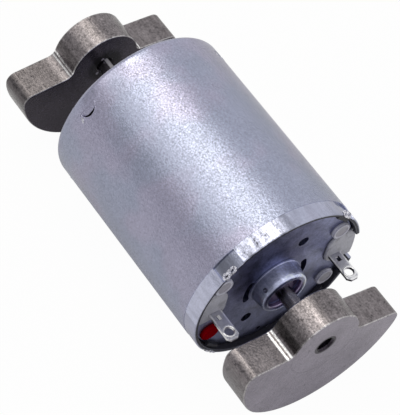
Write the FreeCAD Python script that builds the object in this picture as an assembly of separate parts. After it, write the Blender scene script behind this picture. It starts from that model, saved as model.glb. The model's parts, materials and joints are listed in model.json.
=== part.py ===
"""Double-shaft brushed DC vibration motor with an eccentric weight on each shaft end.

Frame, in millimetres: the origin is the middle of the can's barrel on the shaft axis. +X runs along the
shaft out through the end plate, +Y through the negative terminal, +Z away from the side that the weights
hang to. Angles round the shaft are in degrees from +Y towards +Z.
"""
import FreeCAD, Part
import math
import os

# Can: a drawn steel cup, closed at -X and staked over the end plate at +X
can_diameter = 27.7
can_length = 35.4
can_wall = 0.9
shoulder_radius = 1.0
inner_corner_bevel = 0.5
rim_bevel = 0.12
mouth_band_length = 2.5
mouth_band_relief = 0.05
mouth_step = 0.2
rear_boss_diameter = 10.0
rear_boss_height = 1.9
rear_boss_bevel = 0.35
rear_boss_hole = 4.4
mounting_pitch = 16.0
mounting_hole = 2.1

# Stakes round the mouth that close the can over the end plate
stake_angles = (45.0, 135.0, 225.0, 315.0)
stake_pocket_length = 2.45
stake_pocket_depth = 0.28
stake_pocket_angle = 16.0
stake_tongue_reach = 0.6
stake_tongue_height = 0.6
stake_tongue_angle = 13.0

# Keyway in the rim beside the negative terminal
keyway_angle = 26.0
keyway_middle = 2.5
keyway_depth = 1.6
key_clearance = 0.1

# Tongues lanced inwards through half-moon openings as end stops for the magnets
lance_radius = 1.6
lance_spread = 54.0
lance_setback = 1.3
lance_tilt = 26.0
lance_slit = 0.72
lance_end_round = 3.2
lance_gap = 0.06
lance_hinge_depth = 0.05

# End plate: pressed steel with a drawn bearing cup on a raised pad
plate_thickness = 1.0
plate_recess = 0.95
plate_clearance = 0.05
plate_edge_bevel = 0.12
pad_height = 0.12
pad_diameter = 12.0
pad_edge_slope = 0.3
cup_height = 2.58
cup_diameter = 7.2
cup_taper = 0.35
cup_bore = 6.1
cup_root_bevel = 0.1
cup_lip_round = 0.5
cup_pin_hole = 0.7
cup_pin_angle = 149.0
cup_pin_setback = 1.0
plate_hole = 1.7
plate_hole_circle = 15.2
plate_hole_angle = 64.3
slot_circle = 9.7
slot_width = 0.95
slot_angle = 42.5
slot_turn = -2.5
gauge_hole = 0.6
gauge_hole_inset = 1.2

# Open-sided notches in the plate, filled by the moulded plugs of the brush holder
notch_depth = 4.7
notch_width = 6.2
notch_middle_z = 1.2
notch_corner = 2.2
plug_clearance = 0.1
plug_height = 0.4
plug_edge_bevel = 0.15

# Brush holder: a moulded disc with a skirt, riveted to the plate by its own studs
holder_thickness = 1.6
holder_skirt_depth = 4.0
holder_skirt_wall = 1.0
holder_clearance = 0.35
holder_bore_clearance = 0.4
stud_angle = 29.0
stud_inset = 1.8
stud_shank = 2.0
stud_head = 2.9
stud_head_height = 0.45
stud_head_bevel = 0.22
mark_thickness = 0.06

# Terminals: flat tags that stand out of the plugs
terminal_inset = 2.85
terminal_width = 2.0
terminal_thickness = 0.4
terminal_plane_z = -0.3
terminal_reach = 5.15
terminal_tip_chamfer = 0.5
terminal_eye = 1.4
terminal_eye_setback = 1.35
terminal_slot_width = 0.6
terminal_slot_length = 0.8
terminal_slot_rise = 1.35
terminal_clearance = 0.04

# Brushes, each on its leaf spring
brush_width = 2.0
brush_length = 2.0
brush_height = 1.85
brush_running_gap = 0.03
arm_thickness = 0.25
arm_overhang = 1.4
arm_bend_inset = 2.4
arm_slope = 2.2
arm_bend_radius = 0.5

# Commutator
pole_count = 3
commutator_diameter = 5.4
commutator_core = 3.9
commutator_length = 4.2
commutator_slot = 0.4
commutator_collar = 0.4
tang_reach = 1.2
tang_length = 0.6
tang_width = 1.2
retaining_ring_wall = 0.4
retaining_ring_length = 0.5
retaining_ring_setback = 0.3

# Bearings and thrust washers
bearing_clearance = 0.025
bearing_edge_bevel = 0.12
front_bearing_recess = 1.15
front_bearing_flange = 7.4
front_bearing_flange_length = 1.1
front_bearing_neck = 3.8
front_bearing_neck_length = 0.35
rear_bearing_length = 3.3
washer_diameter = 4.6
washer_thickness = 0.4
washer_clearance = 0.03
end_play = 0.2

# Magnets and the spring clips between them
magnet_thickness = 3.3
magnet_angle = 128.0
magnet_glue_gap = 0.03
magnet_skirt_gap = 0.95
clip_thickness = 0.4
clip_length = 12.0
clip_flange = 2.0
clip_side_angle = 0.5

# Armature
air_gap = 0.4
pole_shoe_depth = 1.2
pole_shoe_angle = 104.0
tooth_width = 4.2
stack_hub_diameter = 6.0
stack_overhang = 2.9
insulator_thickness = 0.8
insulator_inset = 0.25
insulator_hub_diameter = 5.2
coil_build = 2.4
coil_gap = 0.05
coil_hub_gap = 0.3
coil_shoe_gap = 0.25
coil_end_build = 1.8
coil_corner = 1.5

# Shaft and eccentric weights
shaft_diameter = 2.3
shaft_end_recess = 1.0
shaft_end_chamfer = 0.2
press_interference = 0.005
weight_thickness = 5.2
weight_swing_radius = 13.88
weight_arc_radius = 13.3
weight_arc_drop = 1.15
weight_arc_shift = 0.4
weight_hub_radius = 5.68
weight_arm_top = 0.7
weight_arm_slope = 4.0
weight_root_radius = 1.2
weight_tip_radius = 1.5
weight_edge_chamfer = 0.15
weight_bore_chamfer = 0.28
front_weight_gap = 5.77
rear_weight_gap = 8.7
front_weight_turn = -5.5
rear_weight_turn = 2.0

# Radii and stations that follow from the sizes above
X = FreeCAD.Vector(1, 0, 0)
centre = FreeCAD.Vector(0, 0, 0)
beyond = 1.0

can_radius = can_diameter / 2
bore_radius = can_radius - can_wall
mouth_radius = bore_radius + mouth_step
rim_x = can_length / 2
closed_x = -can_length / 2
floor_x = closed_x + can_wall
rear_boss_x = closed_x - rear_boss_height
rear_seat_x = rear_boss_x + can_wall
rear_seat_radius = rear_boss_diameter / 2 - can_wall

plate_radius = mouth_radius - plate_clearance
plate_face_x = rim_x - plate_recess
plate_back_x = plate_face_x - plate_thickness
pad_x = plate_face_x + pad_height
cup_x = pad_x + cup_height
notch_inner_y = plate_radius - notch_depth

shaft_radius = shaft_diameter / 2
press_radius = shaft_radius - press_interference
bearing_bore = shaft_radius + bearing_clearance
loose_radius = shaft_radius + washer_clearance

front_bearing_back_x = plate_back_x - front_bearing_flange_length
rear_bearing_face_x = rear_seat_x + rear_bearing_length

holder_back_x = plate_back_x - holder_thickness
holder_skirt_x = holder_back_x - holder_skirt_depth
holder_radius = bore_radius - holder_clearance
stud_circle_radius = plate_radius - stud_inset

commutator_radius = commutator_diameter / 2
core_radius = commutator_core / 2
commutator_front_x = front_bearing_back_x - end_play - washer_thickness
commutator_back_x = commutator_front_x - commutator_length
collar_x = commutator_back_x - commutator_collar
retaining_ring_x = commutator_front_x - retaining_ring_setback - retaining_ring_length
brush_x = (commutator_back_x + tang_length + retaining_ring_x) / 2
brush_start_x = brush_x - brush_length / 2
brush_end_x = brush_x + brush_length / 2
brush_top = commutator_radius + brush_running_gap + brush_height

magnet_outer_radius = bore_radius - magnet_glue_gap
magnet_inner_radius = magnet_outer_radius - magnet_thickness
lance_hinge_x = floor_x + lance_setback
magnet_back_x = lance_hinge_x + lance_radius - lance_slit
magnet_front_x = holder_skirt_x - magnet_skirt_gap

armature_radius = magnet_inner_radius - air_gap
shoe_inner_radius = armature_radius - pole_shoe_depth
stack_back_x = magnet_back_x + stack_overhang
stack_front_x = magnet_front_x - stack_overhang
insulator_back_x = stack_back_x - insulator_thickness
insulator_front_x = stack_front_x + insulator_thickness
washer_back_x = rear_bearing_face_x + end_play

front_weight_x = rim_x + front_weight_gap
rear_weight_x = closed_x - rear_weight_gap
shaft_front_x = front_weight_x + weight_thickness - shaft_end_recess
shaft_rear_x = rear_weight_x - weight_thickness + shaft_end_recess

terminal_y = plate_radius - terminal_inset
terminal_tip_x = plate_face_x + terminal_reach


def along_axis(x, radius):
    """Point of a half-section through the shaft axis."""
    return FreeCAD.Vector(x, 0, radius)


def cross_section(y, z):
    """Point of a section square to the shaft."""
    return FreeCAD.Vector(0, y, z)


def outline(corners, place):
    """Closed wire through (a, b, radius) corners, each rounded by its radius."""
    points = [place(a, b) for a, b, _ in corners]
    count = len(points)
    starts, ends, arcs = [], [], []
    for index in range(count):
        corner, radius = points[index], corners[index][2]
        back = points[index - 1] - corner
        ahead = points[(index + 1) % count] - corner
        back.normalize()
        ahead.normalize()
        if radius == 0:
            starts.append(corner)
            ends.append(corner)
            arcs.append(None)
            continue
        half = back.getAngle(ahead) / 2
        reach = radius / math.tan(half)
        middle = back + ahead
        middle.normalize()
        starts.append(corner + back * reach)
        ends.append(corner + ahead * reach)
        arcs.append(corner + middle * (radius / math.sin(half) - radius))
    edges = []
    for index in range(count):
        if arcs[index]:
            edges.append(Part.Arc(starts[index], arcs[index], ends[index]).toShape())
        following = starts[(index + 1) % count]
        if (following - ends[index]).Length > 1e-6:
            edges.append(Part.LineSegment(ends[index], following).toShape())
    return Part.Wire(edges)


def revolved(corners):
    """Solid of revolution about the shaft axis from (x, radius, rounding) corners."""
    return Part.Face(outline(corners, along_axis)).revolve(centre, X, 360)


def prism(corners, start_x, end_x):
    """Block along the shaft from (y, z, rounding) corners."""
    block = Part.Face(outline(corners, cross_section)).extrude(X * (end_x - start_x))
    block.translate(X * start_x)
    return block


def cylinder(radius, start_x, end_x, y=0.0, z=0.0):
    """Cylinder along the shaft direction."""
    return Part.makeCylinder(radius, end_x - start_x, FreeCAD.Vector(start_x, y, z), X)


def tube(inner_radius, outer_radius, start_x, end_x):
    """Tube on the shaft axis."""
    return cylinder(outer_radius, start_x, end_x).cut(cylinder(inner_radius, start_x, end_x))


def arc_block(inner_radius, outer_radius, start_x, end_x, middle, angle):
    """Slice of a tube, centred on the angle called middle."""
    half = math.radians(angle / 2)

    def at(radius, turn):
        return FreeCAD.Vector(start_x, radius * math.cos(turn), radius * math.sin(turn))

    outer = Part.Arc(at(outer_radius, -half), at(outer_radius, 0), at(outer_radius, half))
    inner = Part.Arc(at(inner_radius, half), at(inner_radius, 0), at(inner_radius, -half))
    side = Part.LineSegment(at(outer_radius, half), at(inner_radius, half))
    far_side = Part.LineSegment(at(inner_radius, -half), at(outer_radius, -half))
    wire = Part.Wire([curve.toShape() for curve in (outer, side, inner, far_side)])
    block = Part.Face(wire).extrude(X * (end_x - start_x))
    block.rotate(centre, X, middle)
    return block


def turned(shape, angle):
    """Copy turned about the shaft axis."""
    copy = shape.copy()
    copy.rotate(centre, X, angle)
    return copy


def bevelled_top(block, top_x, bevel):
    """Block with a bevel round its top face."""
    rim = [edge for edge in block.Edges
           if abs(edge.BoundBox.XMin - top_x) < 1e-6 and abs(edge.BoundBox.XMax - top_x) < 1e-6]
    return block.makeChamfer(bevel, rim)


def polar(radius, angle):
    """(y, z) of a point round the shaft."""
    return radius * math.cos(math.radians(angle)), radius * math.sin(math.radians(angle))


def lance_blank(radius):
    """Half-moon of the can's wall at angle 0, seen from outside."""
    disc = Part.makeCylinder(radius, can_wall + 2 * beyond,
                             FreeCAD.Vector(lance_hinge_x, bore_radius - beyond, 0), FreeCAD.Vector(0, 1, 0))
    ahead = Part.makeBox(2 * radius, can_wall + 2 * beyond, 4 * radius,
                         FreeCAD.Vector(lance_hinge_x, bore_radius - beyond, -2 * radius))
    return disc.common(ahead)


def lanced_tongue():
    """Tongue shorter than its half-moon opening, bent inwards about the straight edge."""
    tongue = lance_blank(lance_radius - lance_gap).common(tube(bore_radius, can_radius, closed_x, rim_x))
    end = FreeCAD.Vector(magnet_back_x - lance_end_round, bore_radius - beyond, 0)
    tongue = tongue.common(Part.makeCylinder(lance_end_round, can_wall + 2 * beyond, end, FreeCAD.Vector(0, 1, 0)))
    tongue.rotate(FreeCAD.Vector(lance_hinge_x, can_radius, 0), FreeCAD.Vector(0, 0, 1), -lance_tilt)
    tongue.translate(FreeCAD.Vector(0, -lance_hinge_depth, 0))
    return tongue


def make_can():
    """Drawn cup with bearing boss, mouth step, stakes, keyway and magnet stops."""
    band_x = rim_x - mouth_band_length
    band_radius = can_radius - mouth_band_relief
    boss_radius = rear_boss_diameter / 2
    can = revolved([
        (rear_boss_x, rear_boss_hole / 2, 0), (rear_boss_x, boss_radius - rear_boss_bevel, 0),
        (rear_boss_x + rear_boss_bevel, boss_radius, 0), (closed_x, boss_radius, 0),
        (closed_x, can_radius, shoulder_radius), (band_x, can_radius, 0), (band_x, band_radius, 0),
        (rim_x - rim_bevel, band_radius, 0), (rim_x, band_radius - rim_bevel, 0),
        (rim_x, mouth_radius + rim_bevel, 0), (rim_x - rim_bevel, mouth_radius, 0),
        (plate_back_x, mouth_radius, 0), (plate_back_x, bore_radius, 0),
        (floor_x + inner_corner_bevel, bore_radius, 0), (floor_x, bore_radius - inner_corner_bevel, 0),
        (floor_x, rear_seat_radius, 0), (rear_seat_x, rear_seat_radius, 0),
        (rear_seat_x, rear_boss_hole / 2, 0)])
    for side in (1, -1):
        can = can.cut(cylinder(mounting_hole / 2, closed_x - beyond, floor_x + beyond,
                               z=side * mounting_pitch / 2))
    for pole in (90, 270):
        for side in (1, -1):
            place = pole + side * lance_spread
            can = can.cut(turned(lance_blank(lance_radius), place)).fuse(turned(lanced_tongue(), place))
    pocket_radius = band_radius - stake_pocket_depth
    for angle in stake_angles:
        pocket = arc_block(pocket_radius, can_radius + beyond, rim_x - stake_pocket_length,
                           rim_x + beyond, angle, stake_pocket_angle)
        tongue = arc_block(mouth_radius - stake_tongue_reach, (mouth_radius + pocket_radius) / 2,
                           plate_face_x, plate_face_x + stake_tongue_height, angle, stake_tongue_angle)
        can = can.cut(pocket).fuse(tongue)
    keyway = arc_block(bore_radius - beyond, can_radius + beyond, rim_x - keyway_depth,
                       rim_x + beyond, keyway_middle, keyway_angle)
    return can.cut(keyway).removeSplitter()


def notch(side, clearance, start_x, end_x):
    """Block that fills a plate notch, less a clearance, open towards the rim."""
    half = notch_width / 2 - clearance
    inner = notch_inner_y + clearance
    corner = notch_corner - clearance
    block = prism([(inner, notch_middle_z - half, corner), (can_radius + beyond, notch_middle_z - half, 0),
                   (can_radius + beyond, notch_middle_z + half, 0), (inner, notch_middle_z + half, corner)],
                  start_x, end_x)
    if side < 0:
        block = block.mirror(centre, FreeCAD.Vector(0, 1, 0))
    return block


def stud_places():
    """(y, z) of the four rivet studs, the one by the positive terminal's lower side last."""
    return [polar(stud_circle_radius, angle)
            for angle in (stud_angle, -stud_angle, 180 - stud_angle, 180 + stud_angle)]


def kidney_slot(middle):
    """Arc slot with round ends beside the bearing cup."""
    radius = slot_circle / 2
    slot = arc_block(radius - slot_width / 2, radius + slot_width / 2, plate_back_x - beyond,
                     pad_x + beyond, middle, slot_angle)
    for end in (middle - slot_angle / 2, middle + slot_angle / 2):
        y, z = polar(radius, end)
        slot = slot.fuse(cylinder(slot_width / 2, plate_back_x - beyond, pad_x + beyond, y, z))
    return slot


def make_end_plate():
    """Pressed plate with its drawn cup, slots, holes and notches."""
    cup_radius = cup_diameter / 2
    plate = revolved([
        (plate_back_x, cup_bore / 2, 0), (plate_back_x, plate_radius - plate_edge_bevel, 0),
        (plate_back_x + plate_edge_bevel, plate_radius, 0), (plate_face_x - plate_edge_bevel, plate_radius, 0),
        (plate_face_x, plate_radius - plate_edge_bevel, 0), (plate_face_x, pad_diameter / 2, 0),
        (pad_x, pad_diameter / 2 - pad_edge_slope, 0), (pad_x, cup_radius + cup_taper + cup_root_bevel, 0),
        (pad_x + cup_root_bevel, cup_radius + cup_taper, 0), (cup_x, cup_radius, cup_lip_round),
        (cup_x, cup_bore / 2, 0)])
    through_start = plate_back_x - beyond
    through_end = pad_x + beyond
    for angle in (plate_hole_angle, plate_hole_angle + 180):
        y, z = polar(plate_hole_circle / 2, angle)
        plate = plate.cut(cylinder(plate_hole / 2, through_start, through_end, y, z))
    for middle in (slot_turn, slot_turn + 180):
        plate = plate.cut(kidney_slot(middle))
    plate = plate.cut(cylinder(gauge_hole / 2, through_start, through_end, z=gauge_hole_inset - plate_radius))
    pin_hole = Part.makeCylinder(cup_pin_hole / 2, cup_diameter, FreeCAD.Vector(cup_x - cup_pin_setback, 0, 0),
                                 FreeCAD.Vector(0, 1, 0))
    plate = plate.cut(turned(pin_hole, cup_pin_angle))
    for y, z in stud_places():
        plate = plate.cut(cylinder(stud_shank / 2 + plug_clearance / 2, through_start, through_end, y, z))
    for side in (1, -1):
        plate = plate.cut(notch(side, 0, through_start, through_end))
    return plate


def stud_head_shape(extra, y, z):
    """Round rivet head on the plate's face, swollen by extra."""
    top_x = plate_face_x + stud_head_height + extra
    return bevelled_top(cylinder(stud_head / 2 + extra, plate_face_x, top_x, y, z), top_x, stud_head_bevel)


def terminal_block(side, clearance, start_x, end_x):
    """Block round the flat tag, swollen by a clearance."""
    width = terminal_width + 2 * clearance
    depth = terminal_thickness + 2 * clearance
    corner = FreeCAD.Vector(start_x, side * terminal_y - width / 2, terminal_plane_z - depth / 2)
    return Part.makeBox(end_x - start_x, width, depth, corner)


def make_brush_holder():
    """Moulded disc with skirt, plugs through the plate, key lug and riveted studs."""
    bore = front_bearing_flange / 2 + holder_bore_clearance
    holder = revolved([
        (holder_back_x, bore, 0), (plate_back_x, bore, 0), (plate_back_x, holder_radius, 0),
        (holder_skirt_x, holder_radius, 0), (holder_skirt_x, holder_radius - holder_skirt_wall, 0),
        (holder_back_x, holder_radius - holder_skirt_wall, 0)])
    plug_x = plate_face_x + plug_height
    for side in (1, -1):
        plug = notch(side, plug_clearance, plate_back_x, plug_x)
        plug = plug.common(cylinder(plate_radius, plate_back_x, plug_x))
        holder = holder.fuse(bevelled_top(plug, plug_x, plug_edge_bevel))
    lug_low = notch_middle_z - notch_width / 2 + plug_clearance
    key_top = math.radians(keyway_middle + keyway_angle / 2)
    lug_high = mouth_radius * math.sin(key_top) - key_clearance
    lug = Part.makeBox(plug_x - rim_x + keyway_depth - key_clearance, notch_depth, lug_high - lug_low,
                       FreeCAD.Vector(rim_x - keyway_depth + key_clearance, plate_radius - notch_depth / 2, lug_low))
    lug = lug.common(cylinder(can_radius - stake_pocket_depth, plate_back_x, plug_x))
    holder = holder.fuse(bevelled_top(lug, plug_x, plug_edge_bevel))
    for y, z in stud_places():
        holder = holder.fuse(cylinder(stud_shank / 2, plate_back_x, plate_face_x, y, z))
        holder = holder.fuse(stud_head_shape(0, y, z))
    for side in (1, -1):
        holder = holder.cut(terminal_block(side, terminal_clearance, holder_skirt_x, plug_x + beyond))
    return holder.removeSplitter()


def make_polarity_mark():
    """Coat of paint over the rivet head beside the positive terminal."""
    y, z = stud_places()[-1]
    plug_x = plate_face_x + plug_height
    coat = stud_head_shape(mark_thickness, y, z).cut(stud_head_shape(0, y, z))
    coat = coat.cut(cylinder(stud_shank / 2, plate_back_x, plate_face_x, y, z))
    return coat.cut(notch(-1, 0, plate_back_x, plug_x + beyond))


def make_terminal(side):
    """Flat tag with solder eye and lance slot; its foot carries the leaf spring."""
    inner = side * terminal_y - terminal_width / 2
    outer = side * terminal_y + terminal_width / 2
    shoulder = terminal_tip_x - terminal_tip_chamfer
    low_z = terminal_plane_z - terminal_thickness / 2

    def flat(x, y):
        return FreeCAD.Vector(x, y, low_z)

    wire = outline([(brush_start_x, inner, 0), (shoulder, inner, 0),
                    (terminal_tip_x, inner + terminal_tip_chamfer, 0),
                    (terminal_tip_x, outer - terminal_tip_chamfer, 0),
                    (shoulder, outer, 0), (brush_start_x, outer, 0)], flat)
    tag = Part.Face(wire).extrude(FreeCAD.Vector(0, 0, terminal_thickness))
    eye = Part.makeCylinder(terminal_eye / 2, 2 * terminal_thickness,
                            FreeCAD.Vector(terminal_tip_x - terminal_eye_setback, side * terminal_y,
                                           low_z - terminal_thickness / 2))
    slot = Part.makeBox(terminal_slot_length, terminal_slot_width, 2 * terminal_thickness,
                        FreeCAD.Vector(plate_face_x + terminal_slot_rise - terminal_slot_length / 2,
                                       side * terminal_y - terminal_slot_width / 2,
                                       low_z - terminal_thickness / 2))
    return tag.cut(eye).cut(slot)


def strip(points, thickness, radius, start_x, end_x):
    """Bent strip along the shaft: a path of (y, z) points thickened to its left."""
    offset = []
    count = len(points)
    for index in range(count):
        normals = []
        for first, second in ((index - 1, index), (index, index + 1)):
            if first < 0 or second >= count:
                continue
            dy, dz = points[second][0] - points[first][0], points[second][1] - points[first][1]
            length = math.hypot(dy, dz)
            normals.append((-dz / length, dy / length))
        ny = sum(normal[0] for normal in normals)
        nz = sum(normal[1] for normal in normals)
        scale = thickness * len(normals) / (ny * ny + nz * nz)
        offset.append((points[index][0] + ny * scale, points[index][1] + nz * scale))
    corners = []
    for row, sign in ((points, 1), (offset[::-1], -1)):
        for index, (y, z) in enumerate(row):
            inside = 0 < index < count - 1
            corners.append((y, z, radius if inside else 0))
    return prism(corners, start_x, end_x)


def make_brush_arm(side):
    """Leaf spring from the terminal's foot to the brush."""
    contact_z = terminal_plane_z + side * terminal_thickness / 2
    bend_y = terminal_y - arm_bend_inset
    path = [(-side * arm_overhang, side * brush_top), (side * (bend_y - arm_slope), side * brush_top),
            (side * bend_y, contact_z), (side * (terminal_y + terminal_width / 2), contact_z)]
    return strip(path, arm_thickness, arm_bend_radius, brush_start_x, brush_end_x)


def make_brush(side):
    """Carbon block with its face worn to the commutator."""
    block = Part.makeBox(brush_length, brush_width, brush_top,
                         FreeCAD.Vector(brush_start_x, -brush_width / 2, 0))
    block = block.cut(cylinder(commutator_radius + brush_running_gap, brush_start_x, brush_end_x))
    return block if side > 0 else turned(block, 180)


def make_magnet(pole):
    """Arc magnet against the can's wall."""
    return arc_block(magnet_inner_radius, magnet_outer_radius, magnet_back_x, magnet_front_x, pole, magnet_angle)


def make_magnet_clip(middle):
    """Spring clip that spreads the two magnets apart."""
    span = 180 - magnet_angle - 2 * clip_side_angle
    flange_angle = math.degrees(clip_thickness / magnet_outer_radius)
    middle_x = (magnet_back_x + magnet_front_x) / 2
    start_x = middle_x - clip_length / 2
    end_x = middle_x + clip_length / 2
    inner = magnet_outer_radius - clip_thickness
    clip = arc_block(inner, magnet_outer_radius, start_x, end_x, middle, span)
    for side in (1, -1):
        place = middle + side * (span - flange_angle) / 2
        clip = clip.fuse(arc_block(inner - clip_flange, magnet_outer_radius, start_x, end_x, place, flange_angle))
    return clip.removeSplitter()


def make_front_bearing():
    """Flanged sintered bush in the plate's cup, with a short neck round the shaft."""
    face_x = cup_x - front_bearing_recess
    neck_x = face_x + front_bearing_neck_length
    neck_radius = front_bearing_neck / 2
    seat = cup_bore / 2 + press_interference
    return revolved([
        (front_bearing_back_x, bearing_bore, 0), (front_bearing_back_x, front_bearing_flange / 2, 0),
        (plate_back_x, front_bearing_flange / 2, 0), (plate_back_x, seat, 0),
        (face_x - bearing_edge_bevel, seat, 0), (face_x, seat - bearing_edge_bevel, 0), (face_x, neck_radius, 0),
        (neck_x - bearing_edge_bevel, neck_radius, 0), (neck_x, neck_radius - bearing_edge_bevel, 0),
        (neck_x, bearing_bore, 0)])


def make_rear_bearing():
    """Plain sintered bush in the can's boss."""
    seat = rear_seat_radius + press_interference
    return revolved([
        (rear_seat_x, bearing_bore, 0), (rear_seat_x, seat, 0),
        (rear_bearing_face_x - bearing_edge_bevel, seat, 0), (rear_bearing_face_x, seat - bearing_edge_bevel, 0),
        (rear_bearing_face_x, bearing_bore, 0)])


def make_shaft():
    """Straight shaft with chamfered ends."""
    inner = shaft_radius - shaft_end_chamfer
    return revolved([
        (shaft_rear_x, 0, 0), (shaft_rear_x, inner, 0), (shaft_rear_x + shaft_end_chamfer, shaft_radius, 0),
        (shaft_front_x - shaft_end_chamfer, shaft_radius, 0), (shaft_front_x, inner, 0), (shaft_front_x, 0, 0)])


def pole_angles():
    """Angle of each armature tooth."""
    return [90 + 360 * index / pole_count for index in range(pole_count)]


def pole_blank(inset, bore, start_x, end_x):
    """Hub, teeth and pole shoes, drawn in by an inset."""
    blank = cylinder(stack_hub_diameter / 2 - inset, start_x, end_x)
    tooth = tooth_width - 2 * inset
    inner = shoe_inner_radius + inset
    outer = armature_radius - inset
    span = pole_shoe_angle - 2 * math.degrees(inset / outer)
    for angle in pole_angles():
        bar = Part.makeBox(end_x - start_x, (inner + outer) / 2, tooth, FreeCAD.Vector(start_x, 0, -tooth / 2))
        blank = blank.fuse(turned(bar, angle)).fuse(arc_block(inner, outer, start_x, end_x, angle, span))
    return blank.removeSplitter().cut(cylinder(bore, start_x, end_x))


def make_insulator(stack_x, outer_x, hub_x):
    """End insulator: a moulded copy of the lamination with a hub along the shaft."""
    plate = pole_blank(insulator_inset, loose_radius, min(stack_x, outer_x), max(stack_x, outer_x))
    hub = tube(loose_radius, insulator_hub_diameter / 2, min(outer_x, hub_x), max(outer_x, hub_x))
    return plate.fuse(hub).removeSplitter()


def make_coil(angle):
    """Winding on one tooth, with rounded end turns and its outside curved along the pole shoe."""
    half = tooth_width / 2 + coil_gap + coil_build
    inner = stack_hub_diameter / 2 + coil_hub_gap
    outer = shoe_inner_radius - coil_shoe_gap
    start_x = insulator_back_x - coil_gap - coil_end_build
    end_x = insulator_front_x + coil_gap + coil_end_build
    height = outer - inner
    coil = Part.makeBox(end_x - start_x, height, 2 * half, FreeCAD.Vector(start_x, inner, -half))
    upright = [edge for edge in coil.Edges if abs(edge.BoundBox.YLength - height) < 1e-4]
    coil = coil.makeFillet(coil_corner, upright).common(cylinder(outer, start_x, end_x))
    window = Part.makeBox(end_x - start_x - 2 * coil_end_build, height + 2 * beyond, tooth_width + 2 * coil_gap,
                          FreeCAD.Vector(start_x + coil_end_build, inner - beyond, -tooth_width / 2 - coil_gap))
    return turned(coil.cut(window), angle)


def make_commutator_core():
    """Moulded sleeve with a collar behind the segments."""
    core = tube(press_radius, core_radius, collar_x, commutator_front_x)
    return core.fuse(tube(press_radius, commutator_radius, collar_x, commutator_back_x)).removeSplitter()


def make_segment(angle):
    """Copper segment with its tang for the winding ends."""
    gap_angle = math.degrees(commutator_slot / commutator_radius)
    segment = arc_block(core_radius, commutator_radius, commutator_back_x,
                        commutator_front_x, angle, 360 / pole_count - gap_angle)
    tang = Part.makeBox(tang_length, tang_reach + commutator_radius - core_radius, tang_width,
                        FreeCAD.Vector(commutator_back_x, core_radius, -tang_width / 2))
    tang = turned(tang.cut(cylinder(core_radius, commutator_back_x, commutator_front_x)), angle)
    return segment.fuse(tang).removeSplitter()


def make_weight(inner_x, outward, rest_turn):
    """Eccentric weight: a round hub over a half disc, hanging at its rest angle."""
    outer_x = inner_x + outward * weight_thickness
    start_x, end_x = min(inner_x, outer_x), max(inner_x, outer_x)
    reach = weight_arc_radius + 2 * beyond
    fall = math.tan(math.radians(weight_arm_slope))
    lower = prism([(0, weight_arm_top, 0), (-reach, weight_arm_top - reach * fall, 0), (-reach, -2 * reach, 0),
                   (reach, -2 * reach, 0), (reach, weight_arm_top - reach * fall, 0)], start_x, end_x)
    disc = cylinder(weight_arc_radius, start_x, end_x, outward * weight_arc_shift, -weight_arc_drop)
    disc = disc.common(cylinder(weight_swing_radius, start_x, end_x))
    weight = disc.common(lower).fuse(cylinder(weight_hub_radius, start_x, end_x)).removeSplitter()

    def arm_corners(shape, at_hub):
        found = []
        for edge in shape.Edges:
            y, z = edge.Vertexes[0].Y, edge.Vertexes[0].Z
            lengthwise = abs(edge.BoundBox.XLength - weight_thickness) < 1e-4
            on_arm = abs(z - weight_arm_top + abs(y) * fall) < 1e-3
            on_hub = math.hypot(y, z) < weight_hub_radius + 1e-3
            if lengthwise and on_arm and on_hub == at_hub:
                found.append(edge)
        return found

    weight = weight.makeFillet(weight_root_radius, arm_corners(weight, True))
    weight = weight.makeFillet(weight_tip_radius, arm_corners(weight, False))
    faces = [edge for edge in weight.Edges if edge.BoundBox.XLength < 1e-6]
    weight = weight.makeChamfer(weight_edge_chamfer, faces)
    weight = weight.cut(cylinder(press_radius, start_x - beyond, end_x + beyond))
    for face_x, direction in ((start_x, 1), (end_x, -1)):
        mouth = Part.makeCone(press_radius + weight_bore_chamfer, press_radius, weight_bore_chamfer,
                              FreeCAD.Vector(face_x, 0, 0), X * direction)
        weight = weight.cut(mouth)
    return turned(weight, rest_turn)


def build_pieces():
    """Every piece of the motor by its name."""
    pieces = {
        "motor_can": make_can(),
        "end_plate": make_end_plate(),
        "brush_holder": make_brush_holder(),
        "polarity_mark": make_polarity_mark(),
        "bearing_front": make_front_bearing(),
        "bearing_rear": make_rear_bearing(),
        "shaft": make_shaft(),
        "lamination_stack": pole_blank(0, press_radius, stack_back_x, stack_front_x),
        "insulator_front": make_insulator(stack_front_x, insulator_front_x, collar_x),
        "insulator_rear": make_insulator(stack_back_x, insulator_back_x, washer_back_x + washer_thickness),
        "commutator_core": make_commutator_core(),
        "commutator_ring": tube(commutator_radius, commutator_radius + retaining_ring_wall, retaining_ring_x,
                                retaining_ring_x + retaining_ring_length),
        "washer_front": tube(loose_radius, washer_diameter / 2, commutator_front_x,
                             commutator_front_x + washer_thickness),
        "washer_rear": tube(loose_radius, washer_diameter / 2, washer_back_x, washer_back_x + washer_thickness),
        "weight_front": make_weight(front_weight_x, 1, front_weight_turn),
        "weight_rear": make_weight(rear_weight_x, -1, rear_weight_turn),
    }
    for side, name in ((1, "negative"), (-1, "positive")):
        pieces["terminal_" + name] = make_terminal(side)
        pieces["brush_arm_" + name] = make_brush_arm(side)
        pieces["brush_" + name] = make_brush(side)
    for pole, name in ((90, "upper"), (270, "lower")):
        pieces["magnet_" + name] = make_magnet(pole)
    for middle, name in ((0, "right"), (180, "left")):
        pieces["magnet_clip_" + name] = make_magnet_clip(middle)
    for index, angle in enumerate(pole_angles()):
        pieces["coil_%d" % (index + 1)] = make_coil(angle)
        pieces["segment_%d" % (index + 1)] = make_segment(angle + 180 / pole_count)
    return pieces


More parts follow.
